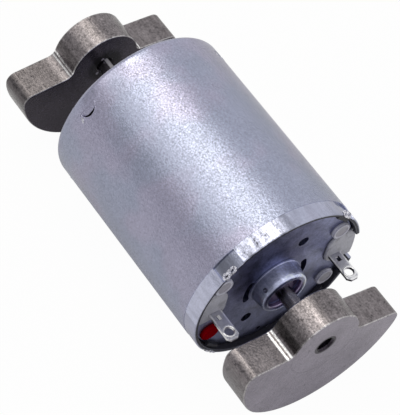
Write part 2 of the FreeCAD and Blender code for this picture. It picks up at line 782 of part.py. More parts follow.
os.makedirs("parts", exist_ok=True)
for piece_name, piece in build_pieces().items():
    piece.exportStep("parts/" + piece_name + ".step")
    box = piece.BoundBox
    print("%-18s solids %d volume %9.2f x %7.2f %7.2f y %7.2f %7.2f z %7.2f %7.2f" % (
        piece_name, len(piece.Solids), piece.Volume, box.XMin, box.XMax, box.YMin, box.YMax, box.ZMin, box.ZMax))
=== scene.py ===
"""Look of the double-shaft vibration motor: finishes, formed detail, studio floor, light and camera."""
import json
import logging
import math
from dataclasses import dataclass, field
from enum import Enum
from functools import cache
from typing import Callable, Optional, Sequence, Union

import bpy
from mathutils import Matrix, Vector

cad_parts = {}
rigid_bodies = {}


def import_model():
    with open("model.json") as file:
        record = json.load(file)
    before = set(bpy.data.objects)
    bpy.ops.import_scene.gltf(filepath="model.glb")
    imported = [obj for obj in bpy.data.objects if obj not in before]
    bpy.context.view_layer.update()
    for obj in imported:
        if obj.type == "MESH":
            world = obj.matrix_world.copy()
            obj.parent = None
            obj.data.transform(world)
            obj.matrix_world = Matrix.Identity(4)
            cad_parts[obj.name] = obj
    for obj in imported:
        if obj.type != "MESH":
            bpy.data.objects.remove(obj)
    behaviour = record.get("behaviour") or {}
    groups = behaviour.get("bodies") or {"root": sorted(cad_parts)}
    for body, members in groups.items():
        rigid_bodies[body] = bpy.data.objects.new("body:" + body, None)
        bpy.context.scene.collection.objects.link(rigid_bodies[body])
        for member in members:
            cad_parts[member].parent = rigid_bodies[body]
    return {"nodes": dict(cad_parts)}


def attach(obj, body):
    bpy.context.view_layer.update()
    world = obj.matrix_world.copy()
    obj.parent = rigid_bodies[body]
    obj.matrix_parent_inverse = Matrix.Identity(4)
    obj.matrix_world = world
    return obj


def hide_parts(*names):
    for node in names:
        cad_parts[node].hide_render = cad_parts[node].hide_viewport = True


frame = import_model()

LOG = logging.getLogger("vibration_motor")
MM = 0.001
MERGE_DISTANCE = 1e-6
FLAT_ANGLE = 0.3

WHITE = (1.0, 1.0, 1.0, 1.0)
ALONG_SHAFT = (0.0, 90.0, 0.0)
ACROSS_SHAFT = (90.0, 0.0, 0.0)

# A pair is the two ends of a passage or two measures. A span is the two ends of a stretch and their softness.
Number = Union[int, float]
Pair = tuple[float, float]
Triple = tuple[float, float, float]
Span = Triple
Colour = Triple
Facets = tuple[int, int]
Piece = bpy.types.Object


def millimetres(*values: float) -> Vector:
    """Point given in millimetres, as metres."""
    return Vector(values) * MM


class Signal:
    """A shader socket that takes part in Python arithmetic."""

    def __init__(self, shader: "Shader", socket: bpy.types.NodeSocket) -> None:
        """Wrap a socket of a shader's tree."""
        self.shader = shader
        self.socket = socket

    def __add__(self, other: "Operand") -> "Signal":
        """Sum."""
        return self.shader.maths("ADD", self, other)

    def __sub__(self, other: "Operand") -> "Signal":
        """Difference."""
        return self.shader.maths("SUBTRACT", self, other)

    def __mul__(self, other: "Operand") -> "Signal":
        """Product."""
        return self.shader.maths("MULTIPLY", self, other)

    def __pow__(self, other: "Operand") -> "Signal":
        """Power."""
        return self.shader.maths("POWER", self, other)

    def __radd__(self, other: Number) -> "Signal":
        """Sum with a number in front."""
        return self.shader.maths("ADD", other, self)

    def __rsub__(self, other: Number) -> "Signal":
        """Difference from a number."""
        return self.shader.maths("SUBTRACT", other, self)

    def __abs__(self) -> "Signal":
        """Absolute value."""
        return self.shader.maths("ABSOLUTE", self)

    def sway(self, amount: "Operand") -> "Signal":
        """Pattern from 0 to 1 made into a swing about zero, times an amount."""
        return (self - 0.5) * amount


Operand = Union[Signal, Number]
Input = Union[Signal, Number, Sequence[float]]


class Shader:
    """One node tree under construction, with its patterns laid out in millimetres."""

    def __init__(self, owner: Union[bpy.types.Material, bpy.types.World]) -> None:
        """Start with an empty tree.

        Args:
            owner: Material or world that the tree belongs to.
        """
        self.owner = owner
        owner.use_nodes = True
        self.tree = owner.node_tree
        self.tree.nodes.clear()

    def node(self, kind: str, settings: Optional[dict] = None, inputs: Optional[dict] = None,
             output: Union[int, str] = 0) -> Signal:
        """Add a node, set it up and feed it.

        Args:
            kind: Node type after the word ShaderNode.
            settings: Attributes of the node.
            inputs: Values or signals by socket name or number.
            output: Socket that is handed back.

        Returns:
            The chosen output as a signal.
        """
        node = self.tree.nodes.new("ShaderNode" + kind)
        for key, value in (settings or {}).items():
            setattr(node, key, value)
        for key, value in (inputs or {}).items():
            if isinstance(value, Signal):
                self.tree.links.new(value.socket, node.inputs[key])
            else:
                node.inputs[key].default_value = value
        return Signal(self, node.outputs[output] if node.outputs else None)

    def maths(self, operation: str, first: Operand, second: Operand = 0.0) -> Signal:
        """Arithmetic on two values."""
        return self.node("Math", {"operation": operation}, {0: first, 1: second})

    def larger(self, first: Operand, second: Operand) -> Signal:
        """The larger of two values."""
        return self.maths("MAXIMUM", first, second)

    def place(self) -> Signal:
        """Position on the motor in millimetres."""
        point = self.node("TexCoord", output="Object")
        return self.node("VectorMath", {"operation": "SCALE"}, {0: point, "Scale": 1 / MM})

    def parts(self, vector: Signal) -> tuple[Signal, Signal, Signal]:
        """The three components of a vector."""
        outputs = self.node("SeparateXYZ", inputs={0: vector}).socket.node.outputs
        return Signal(self, outputs[0]), Signal(self, outputs[1]), Signal(self, outputs[2])

    def facing(self) -> tuple[Signal, Signal, Signal]:
        """The three components of the surface's own direction."""
        return self.parts(self.node("NewGeometry", output="True Normal"))

    def stretched(self, vector: Signal, scale: Sequence[float]) -> Signal:
        """Vector multiplied axis by axis."""
        return self.node("VectorMath", {"operation": "MULTIPLY"}, {0: vector, 1: scale})

    def noise(self, vector: Signal, size: float, detail: float = 3.0, roughness: float = 0.55) -> Signal:
        """Cloudy noise from 0 to 1 whose lumps are about size millimetres across."""
        return self.node("TexNoise", inputs={"Vector": vector, "Scale": 1 / size, "Detail": detail,
                                             "Roughness": roughness})

    def ease(self, value: Operand, low: float, high: float, start: float = 0.0, end: float = 1.0) -> Signal:
        """Smooth passage from start to end while value goes from low to high."""
        return self.node("MapRange", {"interpolation_type": "SMOOTHSTEP"},
                         {0: value, 1: low, 2: high, 3: start, 4: end})

    def band(self, value: Operand, low: float, high: float, soft: float) -> Signal:
        """One between low and high, zero outside, with soft edges."""
        return self.ease(value, low - soft, low + soft) * self.ease(value, high - soft, high + soft, 1.0, 0.0)

    def disc(self, reach: Operand, radius: float, soft: float) -> Signal:
        """One inside a radius, zero outside, with a soft edge."""
        return self.ease(reach, radius - soft, radius + soft, 1.0, 0.0)

    def turn(self, y: Operand, z: Operand) -> Signal:
        """Angle round the shaft in degrees, from +Y towards +Z."""
        return self.maths("ARCTAN2", z, y) * (180 / math.pi)

    def weigh(self, first: Signal, second: Signal, share: float) -> Signal:
        """Two patterns in one, the first with its share and the second with the rest."""
        return first * share + second * (1 - share)

    def length(self, *values: Operand) -> Signal:
        """Root of the sum of squares.

        Args:
            values: The components.

        Returns:
            The length.
        """
        total = values[0] * values[0]
        for value in values[1:]:
            total = total + value * value
        return total ** 0.5

    def blend(self, factor: Operand, first: Input, second: Input) -> Signal:
        """Mix of two colours."""
        pair = [colour if isinstance(colour, Signal) else (*colour, 1.0) for colour in (first, second)]
        return self.node("Mix", {"data_type": "RGBA"}, {0: factor, 6: pair[0], 7: pair[1]}, output=2)

    def tint(self, colour: Input, amount: Operand) -> Signal:
        """Colour made lighter or darker.

        Args:
            colour: Colour to start from.
            amount: Factor round one.

        Returns:
            The new colour.
        """
        grey = self.node("CombineColor", inputs={0: amount, 1: amount, 2: amount})
        start = colour if isinstance(colour, Signal) else (*colour, 1.0)
        return self.node("Mix", {"data_type": "RGBA", "blend_type": "MULTIPLY"},
                         {0: 1.0, 6: start, 7: grey}, output=2)

    def bump(self, height: Signal, depth: float) -> Signal:
        """Normal tilted by a height from 0 to 1 that stands for depth millimetres."""
        return self.node("Bump", inputs={"Strength": 1.0, "Distance": depth * MM, "Height": height})

    def surface(self, **inputs: Input) -> Signal:
        """Principled surface.

        Args:
            inputs: Values or signals by socket name, with underscores for spaces.

        Returns:
            The surface.
        """
        named = {}
        for key, value in inputs.items():
            name = key.replace("_", " ").title().replace("Ior", "IOR")
            if name == "Base Color" and not isinstance(value, Signal):
                value = (*value, 1.0)
            named[name] = value
        return self.node("BsdfPrincipled", inputs=named)

    def seen(self, camera: float, gloss: float) -> Signal:
        """How much of its own white a backdrop shows.

        Args:
            camera: Share on rays from the camera.
            gloss: Share on glossy rays.

        Returns:
            The share for the ray at hand.
        """
        path = self.node("LightPath").socket.node.outputs
        direct = self.larger(Signal(self, path["Is Camera Ray"]), Signal(self, path["Is Transmission Ray"]))
        return self.larger(direct * camera, Signal(self, path["Is Glossy Ray"]) * gloss)

    def finish(self, surface: Signal) -> Union[bpy.types.Material, bpy.types.World]:
        """Wire the surface to the output.

        Args:
            surface: Shader that is shown.

        Returns:
            The finished material or world.
        """
        kind = "OutputWorld" if isinstance(self.owner, bpy.types.World) else "OutputMaterial"
        self.node(kind, inputs={"Surface": surface})
        return self.owner


def begin(name: str) -> tuple[Shader, Signal, tuple[Signal, Signal, Signal]]:
    """Start a new material.

    Args:
        name: Name of the material.

    Returns:
        Its shader, the position on the motor in millimetres and that position's three components.
    """
    shader = Shader(bpy.data.materials.new(name))
    place = shader.place()
    return shader, place, shader.parts(place)


@dataclass(frozen=True)
class PlatedSteel:
    """Plated drawn steel with a frosted grain, a burnish in the mouth band, and painted light and shade.

    The rim face and mouth bore are painted near-black as shade, the stakes' pockets are punched dull and
    painted darker as shade, the mouth band is painted paler on its upper -Y side, with a painted highlight
    at the glow and painted dark reflection stripes, and the rear rounding has a painted highlight line.
    The frost, the crown, the glow, the painted light and the painted dark stripes are angles round the
    shaft in degrees.
    """

    name: str = "can_plating"
    cool: Colour = (0.38, 0.405, 0.53)
    warm: Colour = (0.42, 0.41, 0.54)
    band_colour: Colour = (0.63, 0.65, 0.82)
    # Stakes' pockets: punched dull, and painted darker as shade in the recess.
    struck_and_shaded: Colour = (0.34, 0.36, 0.46)
    # Rim face and mouth bore: painted near-black as shade, over the bare steel of the edge.
    rim_shade: Colour = (0.03, 0.03, 0.045)
    band_x: float = 15.2
    soft: float = 0.04
    facing: Pair = (0.8, 0.95)
    face_x: Pair = (16.9, 17.1)
    rim_radius: float = 13.58
    rim_soft: float = 0.06
    mouth_radius: Pair = (13.18, 13.3)
    pocket_radius: float = 13.68
    # Painted highlight line along the rounding of the rear shoulder.
    shoulder_highlight: Span = (-17.6, -17.4, 0.06)
    grained: Pair = (-17.0, -15.0)
    frost: Span = (94.0, 118.0, 8.0)
    crown: Span = (96.0, 128.0, 4.0)
    # The glow and the light turn paint the mouth band paler by angle round the shaft: painted light and a
    # painted highlight.
    glow: Span = (30.0, 50.0, 3.0)
    painted_light_turn: Pair = (80.0, 120.0)
    # Painted dark reflections: stretches of the mouth band darkened by angle round the shaft, with their
    # depths.
    painted_dark_stripes: tuple[tuple[Span, float], ...] = (
        ((130.0, 142.0, 3.0), 0.34), ((119.0, 124.0, 2.0), 0.24), ((92.0, 101.0, 1.5), 0.3))
    roughness: float = 0.215
    band_roughness: float = 0.13
    cut_roughness: float = 0.4
    rough_tones: Pair = (0.12, 0.08)
    grain_size: float = 0.36
    grain_tone: float = 0.8
    grit_size: float = 0.21
    grit_tone: float = 0.5
    frost_tone: float = 1.3
    speck_size: float = 0.8
    speck: Pair = (0.62, 0.76)
    speck_tone: float = 0.10
    patch_size: float = 5.0
    patch_tone: float = 0.24
    hue_size: float = 9.0
    hue: Pair = (0.4, 0.6)
    ripple_size: float = 1.0
    ripple_stretch: Triple = (0.3, 1.0, 1.0)
    ripple_tone: float = 0.5
    crown_tones: Pair = (1.6, 2.2)
    band_tone: float = 0.94
    band_share: float = 0.4
    glow_share: float = 0.6
    shoulder_highlight_tone: float = 0.8
    pocket_share: float = 0.8
    grain_share: float = 1.1333
    smooth_share: float = 0.7
    ripple_depth: float = 0.06

    def marks(self, shader: Shader, x: Signal, reach: Signal) -> tuple[Signal, Signal, Signal]:
        """Where the can is turned, where it is painted near-black as shade, and where it is punched.

        Args:
            shader: Shader under construction.
            x: Position along the shaft.
            reach: Distance from the shaft.

        Returns:
            The mouth band, the rim face and bore painted as shade, and the stakes' pockets, each from 0 to 1.
        """
        band = shader.ease(x, self.band_x - self.soft, self.band_x + self.soft)
        facing_x, _, _ = shader.facing()
        face = shader.ease(facing_x, *self.facing) * shader.ease(x, *self.face_x)
        face = face * shader.disc(reach, self.rim_radius, self.rim_soft)
        bore = shader.ease(reach, *self.mouth_radius, 1.0, 0.0) * band
        return band, shader.larger(face, bore), shader.disc(reach, self.pocket_radius, self.soft) * band

    def material(self) -> bpy.types.Material:
        """Build the can's finish.

        Returns:
            The material.
        """
        shader, place, (x, y, z) = begin(self.name)
        turn = shader.turn(y, z)
        band, shaded_cut, pocket = self.marks(shader, x, shader.length(y, z))
        fine = shader.noise(place, self.grain_size, roughness=0.8)
        grit = shader.noise(place, self.grit_size, detail=1.0)
        patch = shader.noise(place, self.patch_size)
        speck = shader.ease(shader.noise(place, self.speck_size, roughness=0.7), *self.speck)
        ripple = shader.noise(shader.stretched(place, self.ripple_stretch), self.ripple_size, detail=2.0)
        frost, crown = shader.band(turn, *self.frost), shader.band(turn, *self.crown)
        frosted = 1.0 + fine.sway(self.grain_tone) + grit.sway(self.grit_tone + frost * self.frost_tone)
        frosted = frosted + patch.sway(self.patch_tone) - speck * self.speck_tone
        # Painted highlight along the rear shoulder's rounding.
        frosted = frosted + shader.band(x, *self.shoulder_highlight) * self.shoulder_highlight_tone
        burnish_and_painted_highlight = self.band_tone + ripple.sway(self.ripple_tone + crown * self.crown_tones[0])
        burnish_and_painted_highlight = burnish_and_painted_highlight + fine.sway(self.ripple_tone + crown * self.crown_tones[1])
        # Painted dark reflection stripes on the mouth band.
        painted_dark_stripes = sum(shader.band(turn, *span) * depth for span, depth in self.painted_dark_stripes)
        shade = (frosted * (1 - band) + band * burnish_and_painted_highlight) * (1 - painted_dark_stripes * band)
        hue = shader.ease(shader.noise(place, self.hue_size, detail=2.0), *self.hue)
        # Painted light: the mouth band is paler towards its upper -Y side and in a painted highlight at the
        # glow.
        painted_pale = shader.ease(turn, *self.painted_light_turn, self.band_share, 1.0)
        painted_pale = painted_pale + shader.band(turn, *self.glow) * self.glow_share
        wall = shader.blend(band * painted_pale, shader.blend(hue, self.cool, self.warm), self.band_colour)
        # The rim face and mouth bore take the painted shade colour; the pockets are punched dull and painted
        # darker.
        colour = shader.blend(shaded_cut, shader.blend(pocket * self.pocket_share, wall, self.struck_and_shaded), self.rim_shade)
        rough = self.roughness + fine.sway(self.rough_tones[0]) + patch.sway(self.rough_tones[1])
        rough = rough * (1 - band) + band * self.band_roughness + shaded_cut * self.cut_roughness
        grain = fine * (1 - band * self.smooth_share) * shader.ease(x, *self.grained) * self.grain_share
        return shader.finish(shader.surface(
            base_color=shader.tint(colour, shade), metallic=1 - shaded_cut, roughness=rough,
            normal=shader.bump(grain + ripple * band, self.ripple_depth)))


@dataclass(frozen=True)
class PressedSteel:
    """Dull blue-grey plated plate, dark inside the drawn cup, and painted light and shade.

    The cup and its lip carry a painted highlight, the cup wall a painted lit side and a painted shaded side,
    the plate painted shade towards the bottom, and the cup's root a painted shadow.
    """

    name: str = "plate_plating"
    colour: Colour = (0.235, 0.25, 0.405)
    # Painted highlight colour for the drawn cup and its lip.
    painted_pale: Colour = (0.54, 0.58, 0.80)
    recess: Colour = (0.36, 0.31, 0.46)
    cup_radius: float = 4.05
    bore_radius: float = 2.9
    soft: float = 0.1
    lip_x: Pair = (18.5, 18.8)
    # Painted shadow along the cup's root, on its upper side only.
    root: Span = (4.40, 4.64, 0.14)
    root_shadow_turn: Span = (62.0, 158.0, 14.0)
    root_shadow_share: float = 0.7
    # Painted shade: the plate darkens towards the bottom.
    painted_shade_z: Pair = (-12.0, 4.0)
    painted_shade_light: Pair = (0.82, 1.04)
    # Painted light and shade on the cup wall: darker towards -Y, lighter towards +Y.
    painted_wall_y: Pair = (-3.0, 0.6)
    painted_wall_light: Pair = (0.56, 1.42)
    level: float = 0.92
    cloud_size: float = 1.9
    cloud_tone: float = 1.7
    grain_size: float = 0.3
    grain_tone: float = 0.9
    cup_share: float = 0.5
    roughness: float = 0.33
    cloud_roughness: float = 0.14
    lip_gloss: float = 0.05
    depth: float = 0.035
    fine_share: float = 0.3

    def material(self) -> bpy.types.Material:
        """Build the plate's finish.

        Returns:
            The material.
        """
        shader, place, (x, y, z) = begin(self.name)
        radius = shader.length(y, z)
        cloud = shader.noise(place, self.cloud_size, detail=4.0, roughness=0.65)
        fine = shader.noise(place, self.grain_size)
        wall = shader.disc(radius, self.cup_radius, self.soft)
        lip = shader.ease(x, *self.lip_x) * wall
        bore = shader.disc(radius, self.bore_radius, self.soft)
        shade = self.level + cloud.sway(self.cloud_tone) + fine.sway(self.grain_tone)
        # Painted shade towards the bottom of the plate.
        shade = shade * shader.ease(z, *self.painted_shade_z, *self.painted_shade_light)
        # Painted light and shade on the cup wall by its side.
        shade = shade * (1 - wall * (1 - shader.ease(y, *self.painted_wall_y, *self.painted_wall_light)))
        shadow = shader.band(radius, *self.root) * shader.band(shader.turn(y, z), *self.root_shadow_turn)
        # Painted highlight: the cup takes part of the pale colour and its lip all of it.
        colour = shader.blend(shader.larger(wall * self.cup_share, lip), self.colour, self.painted_pale)
        colour = shader.tint(shader.blend(bore, colour, self.recess), shade * (1 - shadow * self.root_shadow_share))
        return shader.finish(shader.surface(
            base_color=colour, metallic=1.0,
            roughness=self.roughness + cloud.sway(self.cloud_roughness) - lip * self.lip_gloss,
            normal=shader.bump(shader.weigh(fine, cloud, self.fine_share), self.depth)))


@dataclass(frozen=True)
class SinteredIron:
    """Pressed and sintered iron: pitted, sparkling walls, smoother punch faces, and painted light and shade.

    The arm roots, the rounded edges and the hub's crown carry painted highlights; the hub's side, the slope
    beside each arm root, the rear weight's -Y arm, the bore, the rear weight's face towards the can and a
    step line on the lower faces carry painted shade.
    """

    name: str = "pressed_iron"
    wall: Colour = (0.225, 0.203, 0.212)
    # Near-white colour of the painted highlights on the weights.
    burnish_and_painted_highlight: Colour = (1.0, 0.99, 1.0)
    face: Colour = (0.34, 0.31, 0.37)
    # Colour of the real pores, also used as painted shade in the bore and on the rear weight's face towards
    # the can.
    pit_and_shade: Colour = (0.05, 0.042, 0.055)
    flat_facing: Pair = (0.75, 0.95)
    edge_facing: Pair = (0.15, 0.3)
    pore: Pair = (0.33, 0.44)
    # Painted shade on the rear weight's face towards the can.
    shaded_inner_face: Span = (-26.5, -26.3, 0.05)
    inner_shade_share: float = 0.97
    bore_radius: float = 1.78
    bore_soft: float = 0.1
    # Painted shade round the bore on the rear weight's face towards the can.
    bore_shade: Pair = (2.2, 3.6)
    bore_shade_share: float = 0.8
    punches: tuple[Pair, ...] = ((-0.59, 1.52), (-1.22, -1.24))
    punch_radius: float = 0.24
    punch_soft: float = 0.06
    punch_x: Span = (-26.7, -26.1, 0.1)
    middle: Pair = (-1.0, 1.0)
    hub_half: Pair = (5.2, 6.0)
    # Painted shade line of a faint step round the hub, on the lower faces only.
    ring: Span = (5.5, 5.7, 0.12)
    step_shade_share: float = 0.22
    root_y: float = 6.05
    root_z: float = 1.0
    root_reach: Pair = (0.9, 1.3)
    root_slope: float = 0.707
    root_lines: tuple[Span, ...] = ((-0.46, -0.22, 0.07), (0.06, 0.36, 0.07))
    # Painted shade on the slope beside each arm's root.
    root_shade: Span = (0.8, 2.3, 0.3)
    root_shares: Pair = (0.42, 0.3)
    rear_light: float = 0.25
    # Painted shade on the hub's -Y side and a painted highlight on its crown, by angle.
    painted_shade_rise: Span = (24.0, 46.0, 7.0)
    painted_shade_share: float = 0.42
    painted_crown_rise: Span = (54.0, 80.0, 5.0)
    painted_crown_share: float = 0.3
    # Painted shade on the top of the rear weight's -Y arm.
    rear_x: Span = (-40.0, -20.0, 0.5)
    arm_y: Pair = (7.0, 7.6)
    rear_arm_shade_share: float = 0.4
    lump_size: float = 0.9
    grain_size: float = 0.3
    cloud_size: float = 4.5
    streak_size: float = 0.6
    streak_stretch: Triple = (0.14, 1.0, 1.0)
    level: float = 0.98
    coarse_tones: Pair = (0.5, 0.6)
    fine_tones: Triple = (0.4, 1.3, 0.9)
    cloud_tone: float = 0.6
    streak_tone: float = 0.9
    pore_mix: float = 0.6
    pore_shares: Triple = (0.8, 0.4, 0.35)
    # Share of the painted highlight on the rounded edges.
    edge_highlight_share: float = 0.35
    root_highlight_share: float = 0.7
    metallic: float = 0.95
    punch_dullness: float = 0.75
    roughness: float = 0.18
    coarse_roughness: float = 0.35
    face_roughness: float = 0.06
    root_highlight_gloss: float = 0.08
    grain_depth: float = 0.08
    coarse_share: float = 0.5
    smooth_share: float = 0.7

    def climb(self, y: Signal, z: Signal) -> Signal:
        """Height on the slope that rises out of the root of each arm."""
        return ((z - self.root_z) - (abs(y) - self.root_y)) * self.root_slope

    def root_highlight(self, shader: Shader, y: Signal, z: Signal) -> Signal:
        """Painted highlight lines in the root of each arm, where the fillet catches the lamp.

        Args:
            shader: Shader under construction.
            y: Position across the shaft.
            z: Position above the shaft.

        Returns:
            The lines, from 0 to 1.
        """
        reach = shader.length(abs(y) - self.root_y, z - self.root_z)
        lines = sum(shader.band(self.climb(y, z), *span) for span in self.root_lines)
        return lines * shader.ease(reach, *self.root_reach, 1.0, 0.0)

    def punched(self, shader: Shader, x: Signal, y: Signal, z: Signal) -> Signal:
        """Small bright punch marks beside the rear weight's bore.

        Args:
            shader: Shader under construction.
            x: Position along the shaft.
            y: Position across the shaft.
            z: Position above the shaft.

        Returns:
            The marks, from 0 to 1.
        """
        marks = sum(shader.disc(shader.length(y - across, z - above), self.punch_radius, self.punch_soft)
                    for across, above in self.punches)
        return marks * shader.band(x, *self.punch_x)

    def walls(self, shader: Shader, x: Signal, y: Signal, z: Signal, hub: Signal, side: Signal) -> Signal:
        """Painted light and shade on the side walls, by where they look.

        Args:
            shader: Shader under construction.
            x: Position along the shaft.
            y: Position across the shaft.
            z: Position above the shaft.
            hub: Share of the hub, from 0 to 1.
            side: Share of the side walls, from 0 to 1.

        Returns:
            A factor round one.
        """
        rise = shader.turn(0 - y, z)
        front = shader.ease(x, *self.middle, self.rear_light, 1.0)
        # Painted shade on the slope beside each arm's root.
        root = shader.band(self.climb(y, z), *self.root_shade) * side
        # Painted shade on the top of the rear weight's -Y arm.
        arm = shader.band(x, *self.rear_x) * shader.ease(0 - y, *self.arm_y) * side
        # Painted shade on one side of the hub and a painted highlight on its crown, weaker on the rear
        # weight.
        light = 1 - hub * shader.band(rise, *self.painted_shade_rise) * front * self.painted_shade_share
        light = light * (1 + hub * shader.band(rise, *self.painted_crown_rise) * front * self.painted_crown_share)
        light = light * (1 - root * (front * self.root_shares[0] + self.root_shares[1]))
        return light * (1 - arm * self.rear_arm_shade_share)

    def material(self) -> bpy.types.Material:
        """Build the weights' finish.

        Returns:
            The material.
        """
        shader, place, (x, y, z) = begin(self.name)
        reach = shader.length(y, z)
        facing_x, _, _ = shader.facing()
        flat = shader.ease(abs(facing_x), *self.flat_facing)
        side = 1 - flat
        hub = shader.ease(abs(y), *self.hub_half, 1.0, 0.0) * side
        # Painted shade on the rear weight's face towards the can.
        shaded_inner_face = shader.band(x, *self.shaded_inner_face) * flat
        punched = self.punched(shader, x, y, z)
        # Painted highlight lines in the arm roots.
        root_highlight = self.root_highlight(shader, y, z) * side
        coarse = shader.noise(place, self.lump_size, detail=4.0, roughness=0.7)
        fine = shader.noise(place, self.grain_size, roughness=0.7)
        cloud = shader.noise(place, self.cloud_size)
        streak = shader.noise(shader.stretched(place, self.streak_stretch), self.streak_size, roughness=0.6)
        even, more = self.coarse_tones
        shade = self.level + coarse.sway(even + side * more) + cloud.sway(self.cloud_tone)
        even, more, most = self.fine_tones
        shade = shade + fine.sway(even + side * more + hub * most) + streak.sway(side * self.streak_tone)
        shade = shade * self.walls(shader, x, y, z, hub, side)
        # Painted shade line of a faint step on the lower faces.
        step_shade = shader.band(reach, *self.ring) * shader.ease(z, *self.middle, 1.0, 0.0)
        shade = shade * (1 - step_shade * flat * self.step_shade_share)
        even, less, least = self.pore_shares
        pore = shader.ease(shader.weigh(fine, coarse, self.pore_mix), *self.pore, 1.0, 0.0)
        pore = pore * (even - flat * less - hub * least)
        # Painted shade: the bore and its chamfer take the pores' dark colour.
        bore = shader.disc(reach, self.bore_radius, self.bore_soft)
        dark = shader.larger(shader.larger(pore, bore), shaded_inner_face * self.inner_shade_share)
        # Painted highlight on the rounded edges between walls and faces.
        rounded = shader.ease(abs(facing_x), *self.edge_facing) * side
        # Painted highlights: the arm roots' lines and the rounded edges take the near-white colour.
        wall = shader.blend(shader.larger(root_highlight, rounded * self.edge_highlight_share), self.wall, self.burnish_and_painted_highlight)
        colour = shader.blend(flat, wall, self.face)
        colour = shader.blend(dark * (1 - root_highlight * self.root_highlight_share), colour, self.pit_and_shade)
        # Painted shade round the bore on the rear weight's face towards the can.
        bore_shade = shader.ease(reach, *self.bore_shade, 1.0, 0.0) * shaded_inner_face
        colour = shader.blend(punched, shader.tint(colour, 1 - bore_shade * self.bore_shade_share), self.face)
        rough = self.roughness + coarse.sway(self.coarse_roughness)
        rough = rough + flat * self.face_roughness - root_highlight * self.root_highlight_gloss
        grain = shader.weigh(coarse, fine, self.coarse_share) * (1 - flat * self.smooth_share)
        return shader.finish(shader.surface(
            base_color=shader.tint(colour, shade), metallic=self.metallic - punched * self.punch_dullness,
            roughness=rough, normal=shader.bump(grain, self.grain_depth)))


@dataclass(frozen=True)
class MouldedHolder:
    """Warm grey moulding whose riveted heads are paler and cooler than its plugs, with random smudges.

    The lower outer part of the -Y plug carries painted shade, and the moulding's base below the plate's face
    is painted near-black as shade.
    """

    name: str = "moulded_holder"
    plug: Colour = (0.62, 0.62, 0.70)
    smudge_and_shade: Colour = (0.25, 0.25, 0.30)
    # Colour of the random smudges, also used as painted shade on the lower part of the -Y plug.
    head: Colour = (0.74, 0.74, 0.86)
    crown: Colour = (0.50, 0.485, 0.56)
    # Near-black painted shade on the holder's base, in the gap round the plate's openings.
    edge: Colour = (0.03, 0.03, 0.04)
    head_y: float = 9.88
    head_z: float = 5.48
    head_radius: Pair = (1.40, 1.55)
    crown_radius: float = 1.02
    crown_soft: float = 0.12
    # Where the painted shade at the holder's base begins.
    foot_shade_x: Pair = (16.6, 16.95)
    # Where the painted shade on the -Y plug lies.
    left_shade_y: Pair = (-9.5, -11.5)
    left_shade_z: Pair = (3.4, 1.0)
    cloud_size: float = 1.4
    smudge_size: float = 1.7
    smudge: Pair = (0.48, 0.68)
    smudge_share: float = 0.6
    left_shade_share: float = 0.5
    level: float = 0.95
    tone: float = 0.5
    grain_size: float = 0.18
    roughness: float = 0.42
    cloud_roughness: float = 0.2
    depth: float = 0.02
    cloud_share: float = 0.7

    def material(self) -> bpy.types.Material:
        """Build the holder's finish.

        Returns:
            The material.
        """
        shader, place, (x, y, z) = begin(self.name)
        reach = shader.length(abs(y) - self.head_y, abs(z) - self.head_z)
        head = shader.ease(reach, *self.head_radius, 1.0, 0.0)
        middle = shader.disc(reach, self.crown_radius, self.crown_soft)
        # Painted shade at the base of the holder, below the plate's face.
        foot_shade = shader.ease(x, *self.foot_shade_x, 1.0, 0.0)
        cloud = shader.noise(place, self.cloud_size)
        fine = shader.noise(place, self.grain_size)
        smudge = shader.noise(place, self.smudge_size, detail=4.0, roughness=0.6)
        smudge = shader.ease(smudge, *self.smudge)
        # Painted shade on the lower outer part of the -Y plug.
        smudge_and_shade = shader.ease(y, *self.left_shade_y) * shader.ease(z, *self.left_shade_z)
        smudged_and_shaded = shader.larger(smudge * self.smudge_share, smudge_and_shade * self.left_shade_share)
        plug = shader.blend(smudged_and_shaded, self.plug, self.smudge_and_shade)
        top = shader.blend(head, plug, shader.blend(middle, self.head, self.crown))
        shade = self.level + cloud.sway(self.tone) + fine.sway(self.tone)
        return shader.finish(shader.surface(
            base_color=shader.tint(shader.blend(foot_shade, top, self.edge), shade),
            roughness=self.roughness + cloud.sway(self.cloud_roughness),
            normal=shader.bump(shader.weigh(cloud, fine, self.cloud_share), self.depth)))


